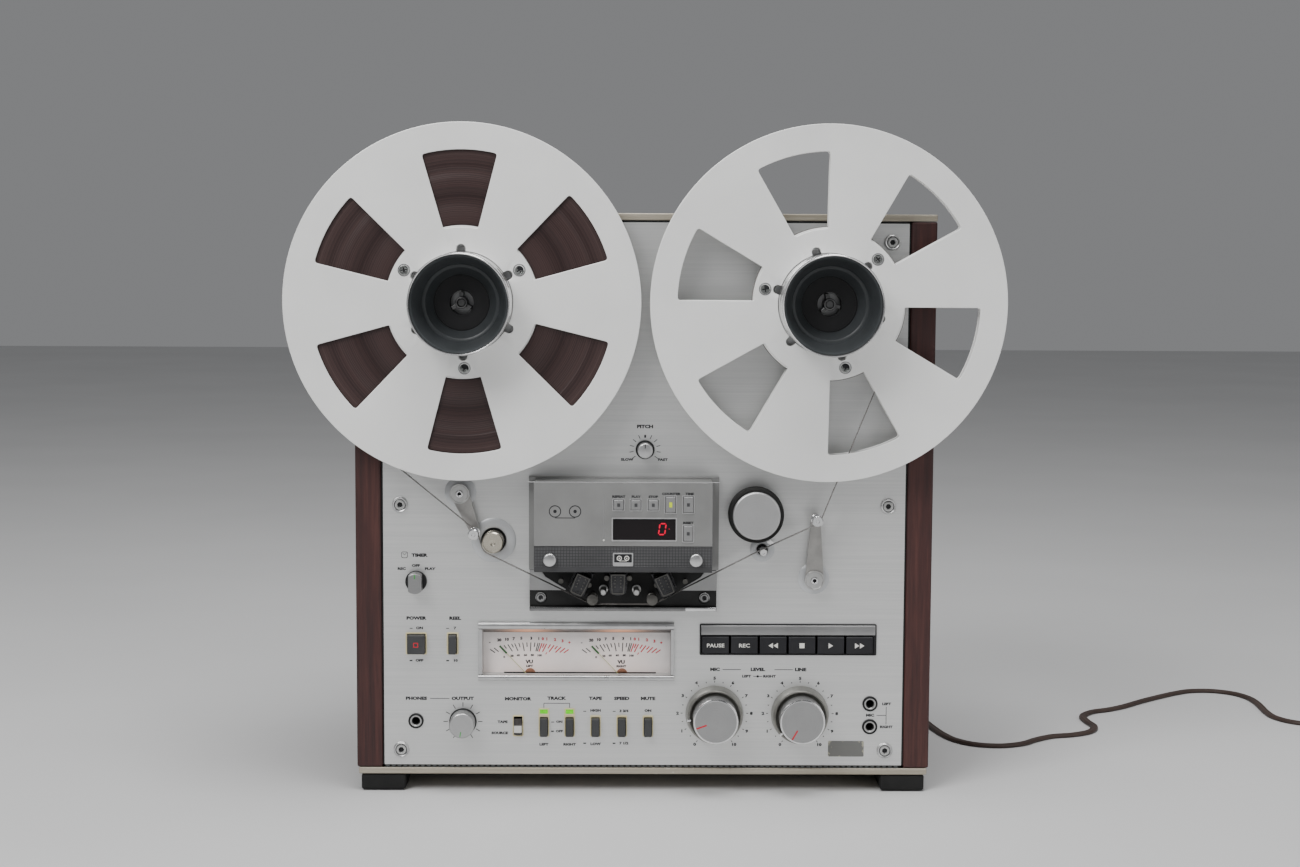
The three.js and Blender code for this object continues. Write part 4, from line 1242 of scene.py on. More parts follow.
# %% [markdown]
# ## Head block
#
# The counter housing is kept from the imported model, because its windows must line up with the
# buttons behind them. Below it the head cover is a dark shell with a pressed grid and two bright
# knobs. Under the cover three heads, two guides and two lifters stand on a black plate with a
# polished lip.

# %% Housing, cover and plate
def along_x(profile, x0, x1, edge=0.0, segments=2):
    """Fill a profile of (y, z) points and pull it from x0 to x1."""
    bm = bmesh.new()
    verts = [bm.verts.new((x0, y, z)) for y, z in profile]
    edges = [bm.edges.new(pair) for pair in zip(verts, verts[1:] + verts[:1])]
    bmesh.ops.contextual_create(bm, geom=edges)
    grown = bmesh.ops.extrude_face_region(bm, geom=bm.faces[:])["geom"]
    ends = [v for v in grown if isinstance(v, bmesh.types.BMVert)]
    bmesh.ops.translate(bm, verts=ends, vec=(x1 - x0, 0, 0))
    recalculated(bm)
    return soften(bm, edge, segments) if edge else bm


H_LEFT, H_RIGHT, FACE_Y = -82.7, 50.6, -34
piece("counter_shell", soften(from_node("counter_housing"), 0.5, 3, 60), HOUSING,
      replaces="counter_housing")
x0, x1, y0, y1, z0, z1 = bounds("counter_housing")
# a thin chrome strip along the housing's top edge, put there as a painted highlight
piece("housing_top_highlight", block(x0 + 0.8, x1 - 0.8, y0 - 0.1, y0 + 0.5, z1 - 0.75, z1 - 0.05, 0.2), CHROME)
GROOVE = moulded("groove_shadow", (0.20, 0.20, 0.20), (0.26, 0.26, 0.26), 0.5)
piece("housing_groove", block(-31.0, -30.2, FACE_Y - 0.12, FACE_Y + 0.1, 200.6, 235, 0.1), GROOVE)
piece("groove_bead", turned([(0, FACE_Y - 0.5), (0.5, FACE_Y - 0.4), (0.75, FACE_Y), (0, FACE_Y)], -30.6,
                            200.4, 24), WHITE_INK)
cover_parts = [
    along_x([(-34, 180.2), (-34, 195.1), (-33.6, 195.5), (-31.6, 195.5), (-31.6, 180.2)], H_LEFT,
            H_RIGHT, 0.15),
    block(H_LEFT, H_RIGHT, -31.55, -6, 193.1, 195.5, 0.3),
    block(H_LEFT, H_LEFT + 2.4, -31.55, -6, 175.9, 193.05, 0.3),
    block(H_RIGHT - 2.4, H_RIGHT, -31.55, -6, 175.9, 193.05, 0.3)]
piece("cover_shell", together(*cover_parts), GRID, "head_cover", "head_cover")
band = along_x([(-34, 180.15), (-33.2, 176.6), (-32.4, 175.9), (-31.6, 175.9), (-31.6, 180.15)], H_LEFT,
               H_RIGHT, 0.15)
COVER_BAND = moulded("cover_band", (0.045, 0.045, 0.047), (0.065, 0.065, 0.068), 0.35)
piece("cover_band", band, COVER_BAND, "head_cover")
knob_profile = [(0, -37.9), (4.0, -37.9), (4.6, -37.6), (4.9, -37.0), (4.9, -34.2), (4.3, -34.02),
                (0, -34.02)]
KNOB_SATIN = plain_metal("satin_knob", (0.56, 0.56, 0.56), (0.68, 0.68, 0.68), 0.26)
knobs = [turned(knob_profile, x, 185.7, 56) for x in (-70.9, 38.5)]
piece("cover_knobs", together(*knobs), KNOB_SATIN, "head_cover")
piece("badge_plate", plate(rounded(-23.7, -8.5, 180.9, 191, 0.8), -34.7, -34.02, edge=0.2), KNOB_SATIN,
      "head_cover")
piece("badge_field", plate(rounded(-22.7, -9.5, 183.8, 190.1, 0.5), -34.85, -34.68, edge=0.05), INK_AND_SHADE,
      "head_cover")
reel_sign = [plate(circle(1.9, 24, x, 187), -34.95, -34.83, [circle(1.3, 20, x, 187)]) for x in (-18.9,
    -13.3)]
reel_sign += [plate(circle(0.5, 12, x, 187), -34.95, -34.83) for x in (-18.9, -13.3)]
reel_sign.append(block(-18.9, -13.3, -34.95, -34.83, 184.75, 185.1, 0))
piece("badge_sign", together(*reel_sign), WHITE_INK, "head_cover")
base = [block(-87.2, 55.2, -5, -0.3, 145.7, 173.2, 0.4), block(-82.2, 50.2, -5, -0.3, 173.25, 195, 0.4)]
piece("head_plate", together(*base), BLACK_METAL, replaces="head_base")
lip = along_x([(-9, 142.6), (-8.6, 142.3), (-0.3, 142.3), (-0.3, 145.65), (-5.2, 145.65), (-8.7, 145.6),
               (-9, 145.2)],
              -87.2, 55.2, 0.12)
DARK_CHROME = plain_metal("dark_chrome", (0.20, 0.20, 0.20), (0.30, 0.30, 0.30), 0.12)
piece("head_lip", lip, DARK_CHROME)
piece("lip_shine", along_x([(-9.2, 142.8), (-9.02, 142.5), (-9.02, 145.2), (-9.2, 145.0)], 31.6, 54.6,
                           0.04), CHROME)
plate_screws = [screw(x, 152.2, -5, 3.3, "hex", 12) for x in (-78.7, 46.0)]
cups = [turned([(3.4, -5.9), (3.9, -6), (4.5, -5.5), (4.6, -5.02), (3.4, -5.02)], x, 152.2, 40)
        for x in (-78.7, 46.0)]
piece("head_plate_screws", together(*plate_screws, *cups), DARK_CHROME)
# painted shade in the plate screws' recesses
piece("head_plate_floors", together(*(recess_shade_disc(x, 152.2, -5, 3.3) for x in (-78.7, 46.0))), INK_AND_SHADE)
wing = [(-87.1, 173.2), (-78.5, 173.2), (-75.0, 168.2), (-59.4, 158.6), (-60.4, 157.8), (-87.1, 157.8)]
wings = [plate(wing, -5.7, -5.02, edge=0.2), plate([(-32 - x, z) for x, z in wing], -5.7, -5.02, edge=0.2)]
piece("head_side_plates", together(*wings), STRIP)

# %% [markdown]
# ## Heads, guides and lifters
#
# Each head is a shielded block with a rounded, polished front where the tape runs. Small brackets,
# springs and adjusting screws crowd round them.

# %% Heads
HEAD_METAL = plain_metal("head_shield", (0.035, 0.035, 0.037), (0.075, 0.075, 0.078), 0.2)
TRIM_METAL = plain_metal("trim_metal", (0.09, 0.088, 0.082), (0.16, 0.155, 0.145), 0.3)
HEADS = ((-52, -24), (-19.9, 0), (19, 24))


def head(x, lean):
    can = block(-6.1, 6.1, -24.6, -5.02, 3.4, 17, 0.8, 3)
    nose = plate(arc(9.5, 232, 308, 14, 0, 9.4) + [(5.85, 4.6), (-5.85, 4.6)], -24, -8, edge=0.3)
    foot = block(-7.2, 7.2, -8.5, -5.02, 1.2, 18.2, 0.4)
    return moved(together(can, nose, foot), (x, 0, 157), lean)


def head_trim(x, lean):
    """A bright frame round the gap window and the rows of contact pins above it."""
    frame_ring = plate(fillet([(-4.6, 1.0), (4.6, 1.0), (5.2, 10), (5.2, 16), (-5.2, 16), (-5.2, 10)],
                              1), -24.95, -24.62,
                       [fillet([(-3.9, 1.8), (3.9, 1.8), (4.5, 10), (4.5, 15.3), (-4.5, 15.3),
                                (-4.5, 10)], 0.8)])
    pins = [turned([(0, -25), (0.55, -24.95), (0.55, -24.62), (0, -24.62)], px, pz, 12)
            for px in (-2.2, 2.2) for pz in (6.5, 9, 11.5, 14)]
    return moved(together(frame_ring, *pins), (x, 0, 157), lean)


piece("heads", together(*(head(*spot) for spot in HEADS)), HEAD_METAL)
piece("head_trims", together(*(head_trim(*spot) for spot in HEADS)), TRIM_METAL)
guide = [(0, -24.5), (3, -24.5), (4.1, -24.2), (4.1, -22.9), (3.6, -22.5), (3.6, -15.8), (4.1, -15.5),
         (4.1, -14.6),
         (3, -14.4), (3, -5.02), (0, -5.02)]
lifter = [(0, -22), (1.8, -22), (2.4, -21.4), (2.4, -7), (3.4, -6.8), (3.4, -5.02), (0, -5.02)]
piece("tape_guides", together(*(turned(guide, x, 153.5, 40) for x in (-39.1, 6))), TRIM_METAL)
piece("tape_lifters", together(*(turned(lifter, x, 158.8, 32) for x in (-31, -5.8))), STEEL)


def spring(x, z, radius=1.3, turns=6, y0=-15.0, y1=-7.5, wire=0.28):
    """A coil standing on the plate."""
    steps = 10 * turns
    line = [Vector((x + radius * math.cos(math.tau * i / 10), y0 + (y1 - y0) * i / steps,
                    z + radius * math.sin(math.tau * i / 10))) for i in range(steps + 1)]
    bm = bmesh.new()
    rings = []
    for i, point in enumerate(line):
        out = Vector((point.x - x, 0, point.z - z)).normalized()
        ring = [bm.verts.new(point + (out * math.cos(a) + Vector((0, 1, 0)) * math.sin(a)) * wire)
                for a in (math.tau * k / 6 for k in range(6))]
        rings.append([bm.edges.new(pair) for pair in zip(ring, ring[1:] + ring[:1])])
    for first, second in zip(rings, rings[1:]):
        bmesh.ops.bridge_loops(bm, edges=first + second)
    for ring in (rings[0], rings[-1]):
        bmesh.ops.contextual_create(bm, geom=ring)
    return recalculated(bm)


AZIMUTH = ((-63, 166.5), (-41.8, 163.6), (-28.4, 168.8), (-11.2, 168.8), (9.4, 163.6), (31, 166.5))
adjusters = []
for i, (x, z) in enumerate(AZIMUTH):
    adjusters += [spring(x, z), turned([(0, -16.2), (1.9, -16.2), (2.1, -15.8), (2.1, -15.1),
                                        (0, -15.1)], x, z, 24)]
    adjusters.append(block(x - 1.6, x + 1.6, -16.35, -16.18, z - 0.2, z + 0.2, 0))
piece("azimuth_springs", together(*adjusters), TRIM_METAL)
print("head block done")

# %% [markdown]
# ## Counter display and its buttons
#
# Five buttons select the counter's functions and a sixth resets it. The fourth is lit. Behind a dark
# window one red digit shows.

# %% Counter display
BUTTONS = {"repeat": (-19.5, 227.1, 7.4, 7.4), "auto_play": (-6.6, 227.1, 7.4, 7.4), "auto_stop": (6.3,
    227.1, 7.4, 7.4),
           "counter": (19.3, 227.4, 7.4, 11.8), "min_sec": (32.5, 227.4, 7.4, 11.8), "reset": (32.5,
               205.7, 6.9, 11.4)}
BUTTON_GREY = moulded("button_metallic", (0.24, 0.24, 0.24), (0.31, 0.31, 0.31), 0.36, metallic=0.4)
rims = []
for name, (x, z, w, h) in BUTTONS.items():
    bm = block(x - w / 2, x + w / 2, -35.6, -25, z - h / 2, z + h / 2, 0.55, 3)
    piece(f"cap_{name}", bm, BUTTON_GREY, f"button_{name}", f"button_{name}")
    outer = rounded(x - w / 2 - 1.0, x + w / 2 + 1.0, z - h / 2 - 1.0, z + h / 2 + 1.0, 0.7)
    inner = rounded(x - w / 2 - 0.36, x + w / 2 + 0.36, z - h / 2 - 0.36, z + h / 2 + 0.36, 0.3)
    rims.append(plate(outer, FACE_Y - 0.35, FACE_Y - 0.02, [inner]))
    lit = name == "counter"
    mark = rounded(x - 1.1, x + 1.1, z - (1.9 if lit else 1.3), z + (1.9 if lit else 1.3), 0.3)
    piece(f"lamp_{name}", plate(mark, -35.68, -35.5), YELLOW_LIGHT if lit else COVER_BAND, f"button_{name}")
piece("button_rims", together(*rims), KNOB_SATIN)
D_LEFT, D_RIGHT, D_LOW, D_HIGH = -23.8, 23.2, 200.6, 216.6
inner = rounded(D_LEFT + 0.02, D_RIGHT - 0.02, D_LOW + 0.02, D_HIGH - 0.02, 0.3)
rim = plate(rounded(D_LEFT - 0.9, D_RIGHT + 0.9, D_LOW - 0.9, D_HIGH + 0.9, 0.6), FACE_Y - 0.3,
            FACE_Y - 0.02, [inner])
piece("display_rim", rim, KNOB_SATIN)
WINDOW = moulded("smoked_window", (0.006, 0.004, 0.005), (0.010, 0.007, 0.008), 0.22, 300, 0.000005)
piece("display_window", block(D_LEFT + 0.1, D_RIGHT - 0.1, -32.9, -31.9, D_LOW + 0.1, D_HIGH - 0.1, 0.2),
      WINDOW)


def digit(x, z, segments, height=8.2, width=4.6, slant=0.14):
    """A leaning seven-segment digit; segments is a string of a to g."""
    half, thick = height / 4, 0.52
    places = {"a": (0, 2 * half, 1), "b": (width / 2, half, 0), "c": (width / 2, -half, 0),
              "d": (0, -2 * half, 1),
              "e": (-width / 2, -half, 0), "f": (-width / 2, half, 0), "g": (0, 0, 1)}
    bars = []
    for name in segments:
        dx, dz, level = places[name]
        length = (width if level else 2 * half) / 2 - 0.35
        tip = thick * 0.9
        shape = [(-length, 0), (-length + tip, thick), (length - tip, thick), (length, 0), (length - tip,
            -thick),
                 (-length + tip, -thick)]
        if not level:
            shape = [(b, a) for a, b in shape]
        bars.append(plate([(x + dx + a + slant * (dz + b), z + dz + b) for a, b in shape], -33.02, -32.88))
    return together(*bars)


piece("display_digit", digit(13.2, 208.8, "abcdef"), RED_LIGHT)
piece("display_point", turned([(0, -33.0), (0.35, -33.0), (0.35, -32.88), (0, -32.88)], 18.3, 208.9, 12),
      RED_LIGHT)
legends = [("REPEAT", -19.5, 233.2), ("PLAY", -6.6, 233.2), ("STOP", 6.3, 233.2), ("COUNTER", 19.6, 235.4),
           ("TIME", 33.4, 235.4), ("RESET", 32.5, 213.6)]
ink = [lettering(text, x, z, 2.3, FACE_Y - 0.03, wide=1.25) for text, x, z in legends]
sign = [plate(circle(4.6, 40, x, 222), FACE_Y - 0.05, FACE_Y - 0.01, [circle(3.9, 36, x, 222)])
        for x in (-67, -52)]
sign += [plate(circle(1.3, 20, x, 222), FACE_Y - 0.05, FACE_Y - 0.01) for x in (-67, -52)]
sign += [stroke(-67, 217.1, -52, 217.1, 0.6, FACE_Y - 0.03)]
piece("housing_print", together(*ink, *sign), INK_AND_SHADE)
print("display done")

# %% [markdown]
# ## Level meters
#
# One silver bezel with rolled lips frames both meters. Inside, a pale card stands at the back of a
# shallow well, with warm light from the lamps above painted into its colour. The ticks point to each
# needle's pivot but end on a flatter arc. Black marks the safe part of the scale and red the rest.

# %% Meter case and card
M_LEFT, M_RIGHT = -126.6, 23.2
W_LEFT, W_RIGHT, W_LOW, W_HIGH = -123.5, 20.7, 91.5, 127.2
top_lip = [(-0.3, 127.0), (-2.4, 127.0), (-3.5, 127.5), (-4, 128.6), (-4, 130.2), (-3.6, 131.4),
           (-2.6, 132.3), (-0.3, 132.3)]
low_lip = [(-0.3, 87.2), (-2.8, 87.2), (-3.7, 87.9), (-4, 89.0), (-3.8, 90.4), (-3.0, 91.3), (-2, 91.6),
           (-0.3, 91.6)]
sides = [block(M_LEFT, W_LEFT, -2.9, -0.3, 91.7, 126.9, 0.35), block(W_RIGHT, M_RIGHT, -2.9, -0.3, 91.7,
    126.9, 0.35)]
lips = [along_x(top_lip, M_LEFT, M_RIGHT, 0.2), along_x(low_lip, M_LEFT, M_RIGHT, 0.2)]
BEZEL = plain_metal("bezel_silver", (0.52, 0.52, 0.52), (0.62, 0.62, 0.62), 0.22)
piece("meter_bezel", together(*lips, *sides), BEZEL, replaces="meter_housing")
WELL = moulded("well_white", (0.46, 0.45, 0.44), (0.54, 0.53, 0.52), 0.5)
well = plate(rounded(M_LEFT + 2.6, M_RIGHT - 2.6, 89.7, 129.7, 0.4), -0.2, 3.2,
             [rounded(W_LEFT, W_RIGHT, W_LOW, W_HIGH, 0.2)])
can = plate(rounded(M_LEFT + 2.5, M_RIGHT - 2.5, 81.1, 129.8, 0.6), 3.4, 24,
            [rounded(W_LEFT, W_RIGHT, 83.5, W_HIGH, 0.2)], edge=0.3)
floor_parts = [block(W_LEFT + 0.05, W_RIGHT - 0.05, 3.5, 4.4, 90.7, 91.5, 0.05)]
floor_parts += [block(x0, x1, 4.45, 7.4, 90.7, 91.5, 0.05) for x0, x1 in ((W_LEFT + 0.05, -107.5),
    (9.5, W_RIGHT - 0.05))]
piece("meter_can", together(can, well, *floor_parts), WELL)


def lamp_pools(finish, x, reach):
    """Two soft pools of light, one over each meter, from 0 to 1 along x."""
    lamps = None
    for centre in (-0.0885, -0.0185):
        away = (x - centre) / reach
        lamp = finish.node("ShaderNodeMath", {"operation": "EXPONENT"}, {0: away * away * -1.0})
        lamps = lamp if lamps is None else lamps + lamp
    return lamps


def card_with_painted_glow():
    """Warm white card with painted lamp light: pinker and brighter near the lamps above each scale."""
    finish = Finish("meter_card", roughness=0.6)
    x, _, z = finish.axes(finish.place())
    fall = finish.node("ShaderNodeMapRange", inputs={"Value": z, "From Min": 0.126, "From Max": 0.092}, out=0)
    # painted light: pools of lamp light, stronger towards the bottom of the card, go into its colour and
    # emission
    glow = lamp_pools(finish, x, 0.030) * (0.2 + fall * 0.8)
    paper = finish.noise(120, 4)
    finish.put("Base Color", finish.blend(glow * 0.8, finish.ramp(paper, [
        (0.3, (0.70, 0.67, 0.66)), (0.7, (0.76, 0.73, 0.72))]), (0.90, 0.80, 0.76)))
    finish.put("Emission Color", finish.blend(glow, (0.05, 0.05, 0.05), (0.42, 0.30, 0.26)))
    finish.put("Emission Strength", 0.5)
    finish.bump(paper, 0.00001, 0.4)
    return finish.material


CARD = card_with_painted_glow()
CARD_Y = 7.6
piece("scale_card", block(W_LEFT + 0.1, W_RIGHT - 0.1, CARD_Y, 8.6, 84, 122.8, 0.1), CARD)


def lamp_wall():
    """The wall above the card, glowing orange where a lamp stands behind it."""
    finish = Finish("lamp_wall", roughness=0.5)
    x, _, _ = finish.axes(finish.place())
    pools = lamp_pools(finish, x, 0.016)
    grain = finish.noise(300, 3)
    finish.put("Base Color", finish.blend(pools * 0.8, (0.30, 0.28, 0.27), (0.80, 0.50, 0.36)))
    finish.put("Emission Color", finish.blend(pools, (0.01, 0.01, 0.01), (0.75, 0.33, 0.18)))
    finish.put("Emission Strength", 0.55)
    finish.bump(grain, 0.00002, 0.5)
    return finish.material


piece("lamp_slot", block(W_LEFT + 0.1, W_RIGHT - 0.1, 8.7, 9.4, 122.9, W_HIGH - 0.1, 0.05), lamp_wall())
piece("meter_back", block(W_LEFT + 0.1, W_RIGHT - 0.1, 9.5, 22, W_LOW + 0.2, W_HIGH - 0.2, 0.3), BLACK)
piece("card_slot", block(-107.5, 9.5, 7.3, 7.58, 84.5, 91.9, 0), INK_AND_SHADE)
COPPER = plain_metal("copper_pivot", (0.42, 0.20, 0.13), (0.60, 0.31, 0.20), 0.3)
piece("pivot_covers", together(*(plate(arc(4.2, 12, 168, 14, x, 90.8), 6.9, 7.28, edge=0.1)
                                 for x in (-87.3, -16.6))), COPPER)

# %% Scales and needles
NEEDLES = {"left": (-87.3, "LEFT"), "right": (-16.6, "RIGHT")}
PIVOT_Z, FLAT = 87.8, 87.5
BLACK_TICKS = ((-30.2, 4.6), (-27.2, 4.6), (-22.6, 5.6), (-19.6, 3.2), (-16.6, 6.4), (-13.8, 3.2),
               (-11.4, 6.4), (-8.2, 3.4),
               (-5.2, 6.6), (-2, 3.4), (1.1, 6.8), (4.2, 3.4), (6.6, 6.8), (8.0, 6.8))
RED_TICKS = ((9.7, 7.0), (11.4, 3.6), (13.2, 7.0), (16.2, 3.6), (19.0, 6.6), (21.6, 3.4), (24.4, 6.2),
             (27.4, 5.2), (30.2, 4.6))


def card_tick(centre, dx, length, width):
    """A tick whose top lies on the flat arc and which points to the pivot."""
    top_z = 114.8 - FLAT + math.sqrt(FLAT * FLAT - dx * dx)
    down = Vector((-dx, PIVOT_Z - top_z)).normalized() * length
    return stroke(centre + dx, top_z, centre + dx + down.x, top_z + down.y, width, CARD_Y - 0.03)


def card_text(centre, marks, size):
    return [lettering(text, centre + dx, z, size, CARD_Y - 0.03, wide=1.15) for text, dx, z in marks]


dark, red = [], []
for side, (centre, label) in NEEDLES.items():
    middle = centre - 0.6
    dark += [card_tick(middle, dx, length, 0.72) for dx, length in BLACK_TICKS]
    red += [card_tick(middle, dx, length, 0.85) for dx, length in RED_TICKS]
    dark += card_text(middle, [("-", -30.5, 114.9), ("20", -23.2, 116.6), ("10", -17.5, 117.1),
                               ("7", -12.1, 117.6),
                               ("5", -6.2, 118), ("3", 1.4, 118), ("1", 7.2, 117.8)], 2.9)
    red += card_text(middle, [("0", 10.3, 117.6), ("1", 13.4, 117.5), ("2", 19.7, 117), ("3", 25.5, 116),
                              ("+", 30.7, 114.8)], 2.9)
    dark += card_text(middle, [("0", -19.4, 103.4), ("20", -13.4, 104.3), ("40", -8.6, 104.7),
                               ("60", -3.1, 104.9),
                               ("80", 2.3, 104.9), ("100", 7.7, 104.7)], 2.1)
    dark += card_text(middle, [("VU", 0, 99.7)], 3.6) + card_text(middle, [(label, 0, 96.4)], 2.2)
    red.append(stroke(middle + 12.4, 105.6, middle + 13.6, 107.2, 0.6, CARD_Y - 0.03))
piece("scale_black", together(*dark), INK_AND_SHADE)
piece("scale_red", together(*red), RED_INK)
NEEDLE_PALE = moulded("needle_pale", (0.45, 0.46, 0.20), (0.58, 0.60, 0.30), 0.4)
NEEDLE_TIP = moulded("needle_tip", (0.03, 0.09, 0.03), (0.05, 0.14, 0.05), 0.4)
for side, (centre, _) in NEEDLES.items():
    lean = 43.5
    pointer = block(-0.22, 0.22, 5.3, 5.8, 2.5, 27, 0.05)
    tip = block(-0.7, 0.7, 5.2, 5.9, 26, 34, 0.15)
    hub_ = turned([(0, 4.7), (2.6, 4.7), (3, 5), (3, 6.3), (2.6, 6.6), (0, 6.6)], centre, PIVOT_Z, 32)
    body = f"needle_{side}"
    piece(f"pointer_{side}", moved(pointer, (centre, 0, PIVOT_Z), lean), NEEDLE_PALE, body, body)
    piece(f"pointer_tip_{side}", moved(tip, (centre, 0, PIVOT_Z), lean), NEEDLE_TIP, body)
    piece(f"pointer_hub_{side}", hub_, BLACK, body)
print("meters done")

# %% [markdown]
# ## Transport keys
#
# Six black keys sit under a silver strip in one black surround. Their legends are printed in white.

# %% Transport keys
KEYS = ("pause", "record", "rewind", "stop", "play", "forward")
KEY_LEFT, KEY_PITCH, KEY_WIDE, KEY_LOW, KEY_HIGH, KEY_FACE = 44.7, 22.08, 20.4, 108.7, 121.8, -3.2
keys_right = KEY_LEFT + 5 * KEY_PITCH + KEY_WIDE
opening = rounded(KEY_LEFT - 0.6, keys_right + 0.6, KEY_LOW - 0.5, KEY_HIGH + 0.5, 0.4)
surround = plate(rounded(42.8, 178.4, 107.2, 131.3, 0.9), -1.5, -0.05, [opening], edge=0.3)
well = plate(rounded(KEY_LEFT - 0.95, keys_right + 0.95, KEY_LOW - 0.75, KEY_HIGH + 0.75, 0.5), 0.05, 3.4,
             [rounded(KEY_LEFT - 0.6, keys_right + 0.6, KEY_LOW - 0.5, KEY_HIGH + 0.5, 0.4)])
piece("key_surround", together(surround, well), BLACK)
piece("key_strip", along_x([(-1.56, 122.9), (-2.5, 123.1), (-2.6, 129.2), (-2.0, 130.3), (-1.56, 130.5)],
                           44, 177.3, 0.12),
      STRIP)


def triangle(x, z, size, way, y):
    return plate([(x - way * size * 0.5, z - size * 0.62), (x + way * size * 0.5, z),
                  (x - way * size * 0.5, z + size * 0.62)],
                 y - 0.04, y)


def key_legend(name, x, z):
    y = KEY_FACE - 0.01
    if name in ("pause", "record"):
        return lettering("PAUSE" if name == "pause" else "REC", x, z - 0.2, 4.0, y - 0.03, 0.02, 1.2)
    if name == "stop":
        return plate([(x - 1.9, z - 1.9), (x + 1.9, z - 1.9), (x + 1.9, z + 1.9), (x - 1.9, z + 1.9)],
                     y - 0.04, y)
    if name == "play":
        return triangle(x, z, 3.4, 1, y)
    way = 1 if name == "forward" else -1
    return together(triangle(x - 1.9, z, 3.4, way, y), triangle(x + 1.9, z, 3.4, way, y))


for i, name in enumerate(KEYS):
    x0 = KEY_LEFT + i * KEY_PITCH
    dish = [(-3.0, KEY_LOW), (-3.2, KEY_LOW + 0.5), (-3.2, KEY_HIGH - 1.2), (-2.6, KEY_HIGH - 0.2),
            (-2.0, KEY_HIGH), (6, KEY_HIGH),
            (6, KEY_LOW)]
    stem = block(x0 + KEY_WIDE / 2 - 1.5, x0 + KEY_WIDE / 2 + 1.5, 6.02, 18, 113, 117.4, 0.2)
    key = together(along_x(dish, x0, x0 + KEY_WIDE, 0.35, 3), stem)
    piece(f"keycap_{name}", key, KEY_BLACK, f"key_{name}", f"key_{name}")
    piece(f"legend_{name}", key_legend(name, x0 + KEY_WIDE / 2, 115), WHITE_INK, f"key_{name}")
print("transport done")

# %% [markdown]
# ## Push buttons, lamps and rocker
#
# Each push button comes through a cream frame. The power button carries a red outline. The track
# buttons have a green lamp over them, and the monitor switch is a rocker.

# %% Push buttons
FRAMES = {
    "power_button": (-182.3, -165.9, 106.8, 123.9), "reel_size_button": (-150.9, -141.7, 106.9, 124.0),
    "track_left_button": (-80.6, -72.3, 43.2, 65.2), "track_right_button": (-60.9, -52.6, 43.2, 65.2),
    "tape_type_button": (-41.0, -32.7, 43.2, 59.8), "tape_speed_button": (-20.8, -12.5, 43.2, 59.8),
    "rec_mute_button": (-0.7, 7.6, 43.2, 59.8), "monitor_switch": (-100.5, -92.1, 43.2, 59.8)}
BUTTON_DARK = moulded("button_slate", (0.043, 0.044, 0.045), (0.060, 0.061, 0.063), 0.40, 1600, 0.00003)
frames, lamps = [], []
for name, (x0, x1, z0, z1) in FRAMES.items():
    bx0, bx1, _, _, bz0, bz1 = bounds(name)
    rise = 1.6 if name == "monitor_switch" else 0.35
    hole = rounded(bx0 - 0.35, bx1 + 0.35, bz0 - rise, bz1 + rise, 0.4)
    holes = [hole]
    if name.startswith("track"):
        holes.append(rounded(x0 + 1.1, x1 - 1.1, 60.9, 64.3, 0.3))
        lamps.append(block(x0 + 1.2, x1 - 1.2, -0.75, -0.1, 61.0, 64.2, 0.2))
    frames.append(plate(rounded(x0, x1, z0, z1, 0.9), -1.1, -0.05, holes, edge=0.25))
    if name == "monitor_switch":
        continue
    cap_ = block(bx0, bx1, -6.5, 6, bz0, bz1, 0.7, 3)
    middle_x, middle_z = (bx0 + bx1) / 2, (bz0 + bz1) / 2
    stem = block(middle_x - 1.5, middle_x + 1.5, 6.02, 14, middle_z - 2, middle_z + 2, 0.2)
    piece(f"cap_{name}", together(cap_, stem), BUTTON_DARK, name, name)
piece("button_frames", together(*frames), CREAM)
piece("track_lamps", together(*lamps), GREEN_LIGHT)
square = plate(rounded(-175.9, -172.1, 113.2, 117.0, 0.5), -6.56, -6.51, [rounded(-175.2, -172.8, 113.9,
    116.3, 0.3)])
piece("power_square", square, RED_INK, "power_button")


def rocker_with_painted_highlight():
    """A pale painted highlight across the middle, between a dark upper and a dark lower part."""
    finish = Finish("rocker_painted_highlight", roughness=0.35)
    _, _, z = finish.axes(finish.place())
    wear = finish.noise(400, 3)
    low, high = z > 0.0468, z > 0.0522
    dull = finish.ramp(wear, [(0.3, (0.030, 0.026, 0.024)), (0.7, (0.055, 0.048, 0.044))])
    # painted highlight: the band between low and high is coloured pale
    finish.put("Base Color", finish.blend(low - high, dull, (0.62, 0.61, 0.58)))
    finish.put("Roughness", 0.3 + wear * 0.15)
    finish.bump(wear, 0.00002, 0.5)
    return finish.material


rocker = soften(from_node("monitor_switch"), 0.35, 3, 20)
piece("rocker", rocker, rocker_with_painted_highlight(), "monitor_switch", "monitor_switch")
print("buttons done")

# %% [markdown]
# ## Knobs
#
# Every knob is turned aluminium: fine rings on the face, a bright chamfer at its edge and a mark that
# shows where it points. The level controls are double, a knob for one channel inside a ring for the
# other.

# %% Knobs
def spun(name, x, z, low=0.40, high=0.50, roughness=0.26):
    return turned_metal(f"{name}_spun", (x / 1000, z / 1000), (low, low, low), (high, high, high),
                        roughness, 0.9)


def pointer_mark(x, z, angle, inner, outer, width, y, thick=0.06):
    bm = block(inner, outer, y - thick, y - 0.005, -width / 2, width / 2, 0)
    return moved(bm, (x, 0, z), angle)


PX, PZ = 0.3, 265.2
foot = [(3.4, -0.3), (7.0, -0.3), (7.2, -0.8), (7.2, -1.6), (6.8, -2), (3.4, -2)]
piece("pitch_foot", turned(foot, PX, PZ, 56), BLACK, "pitch_knob", "pitch_knob")
face = [(0, -12), (4.9, -12), (5.4, -11.8), (5.8, -11.2), (5.8, -2.1), (0, -2.1)]
piece("pitch_face", turned(face, PX, PZ, 64), spun("pitch", PX, PZ, 0.5, 0.62), "pitch_knob")
piece("pitch_mark", pointer_mark(PX, PZ, 90, 2.0, 5.2, 0.7, -12), INK_AND_SHADE, "pitch_knob")
piece("pitch_shaft", turned([(0, -2), (3.1, -2), (3.1, 14), (0, 14)], PX, PZ, 24, 0.3), STEEL, "pitch_knob")

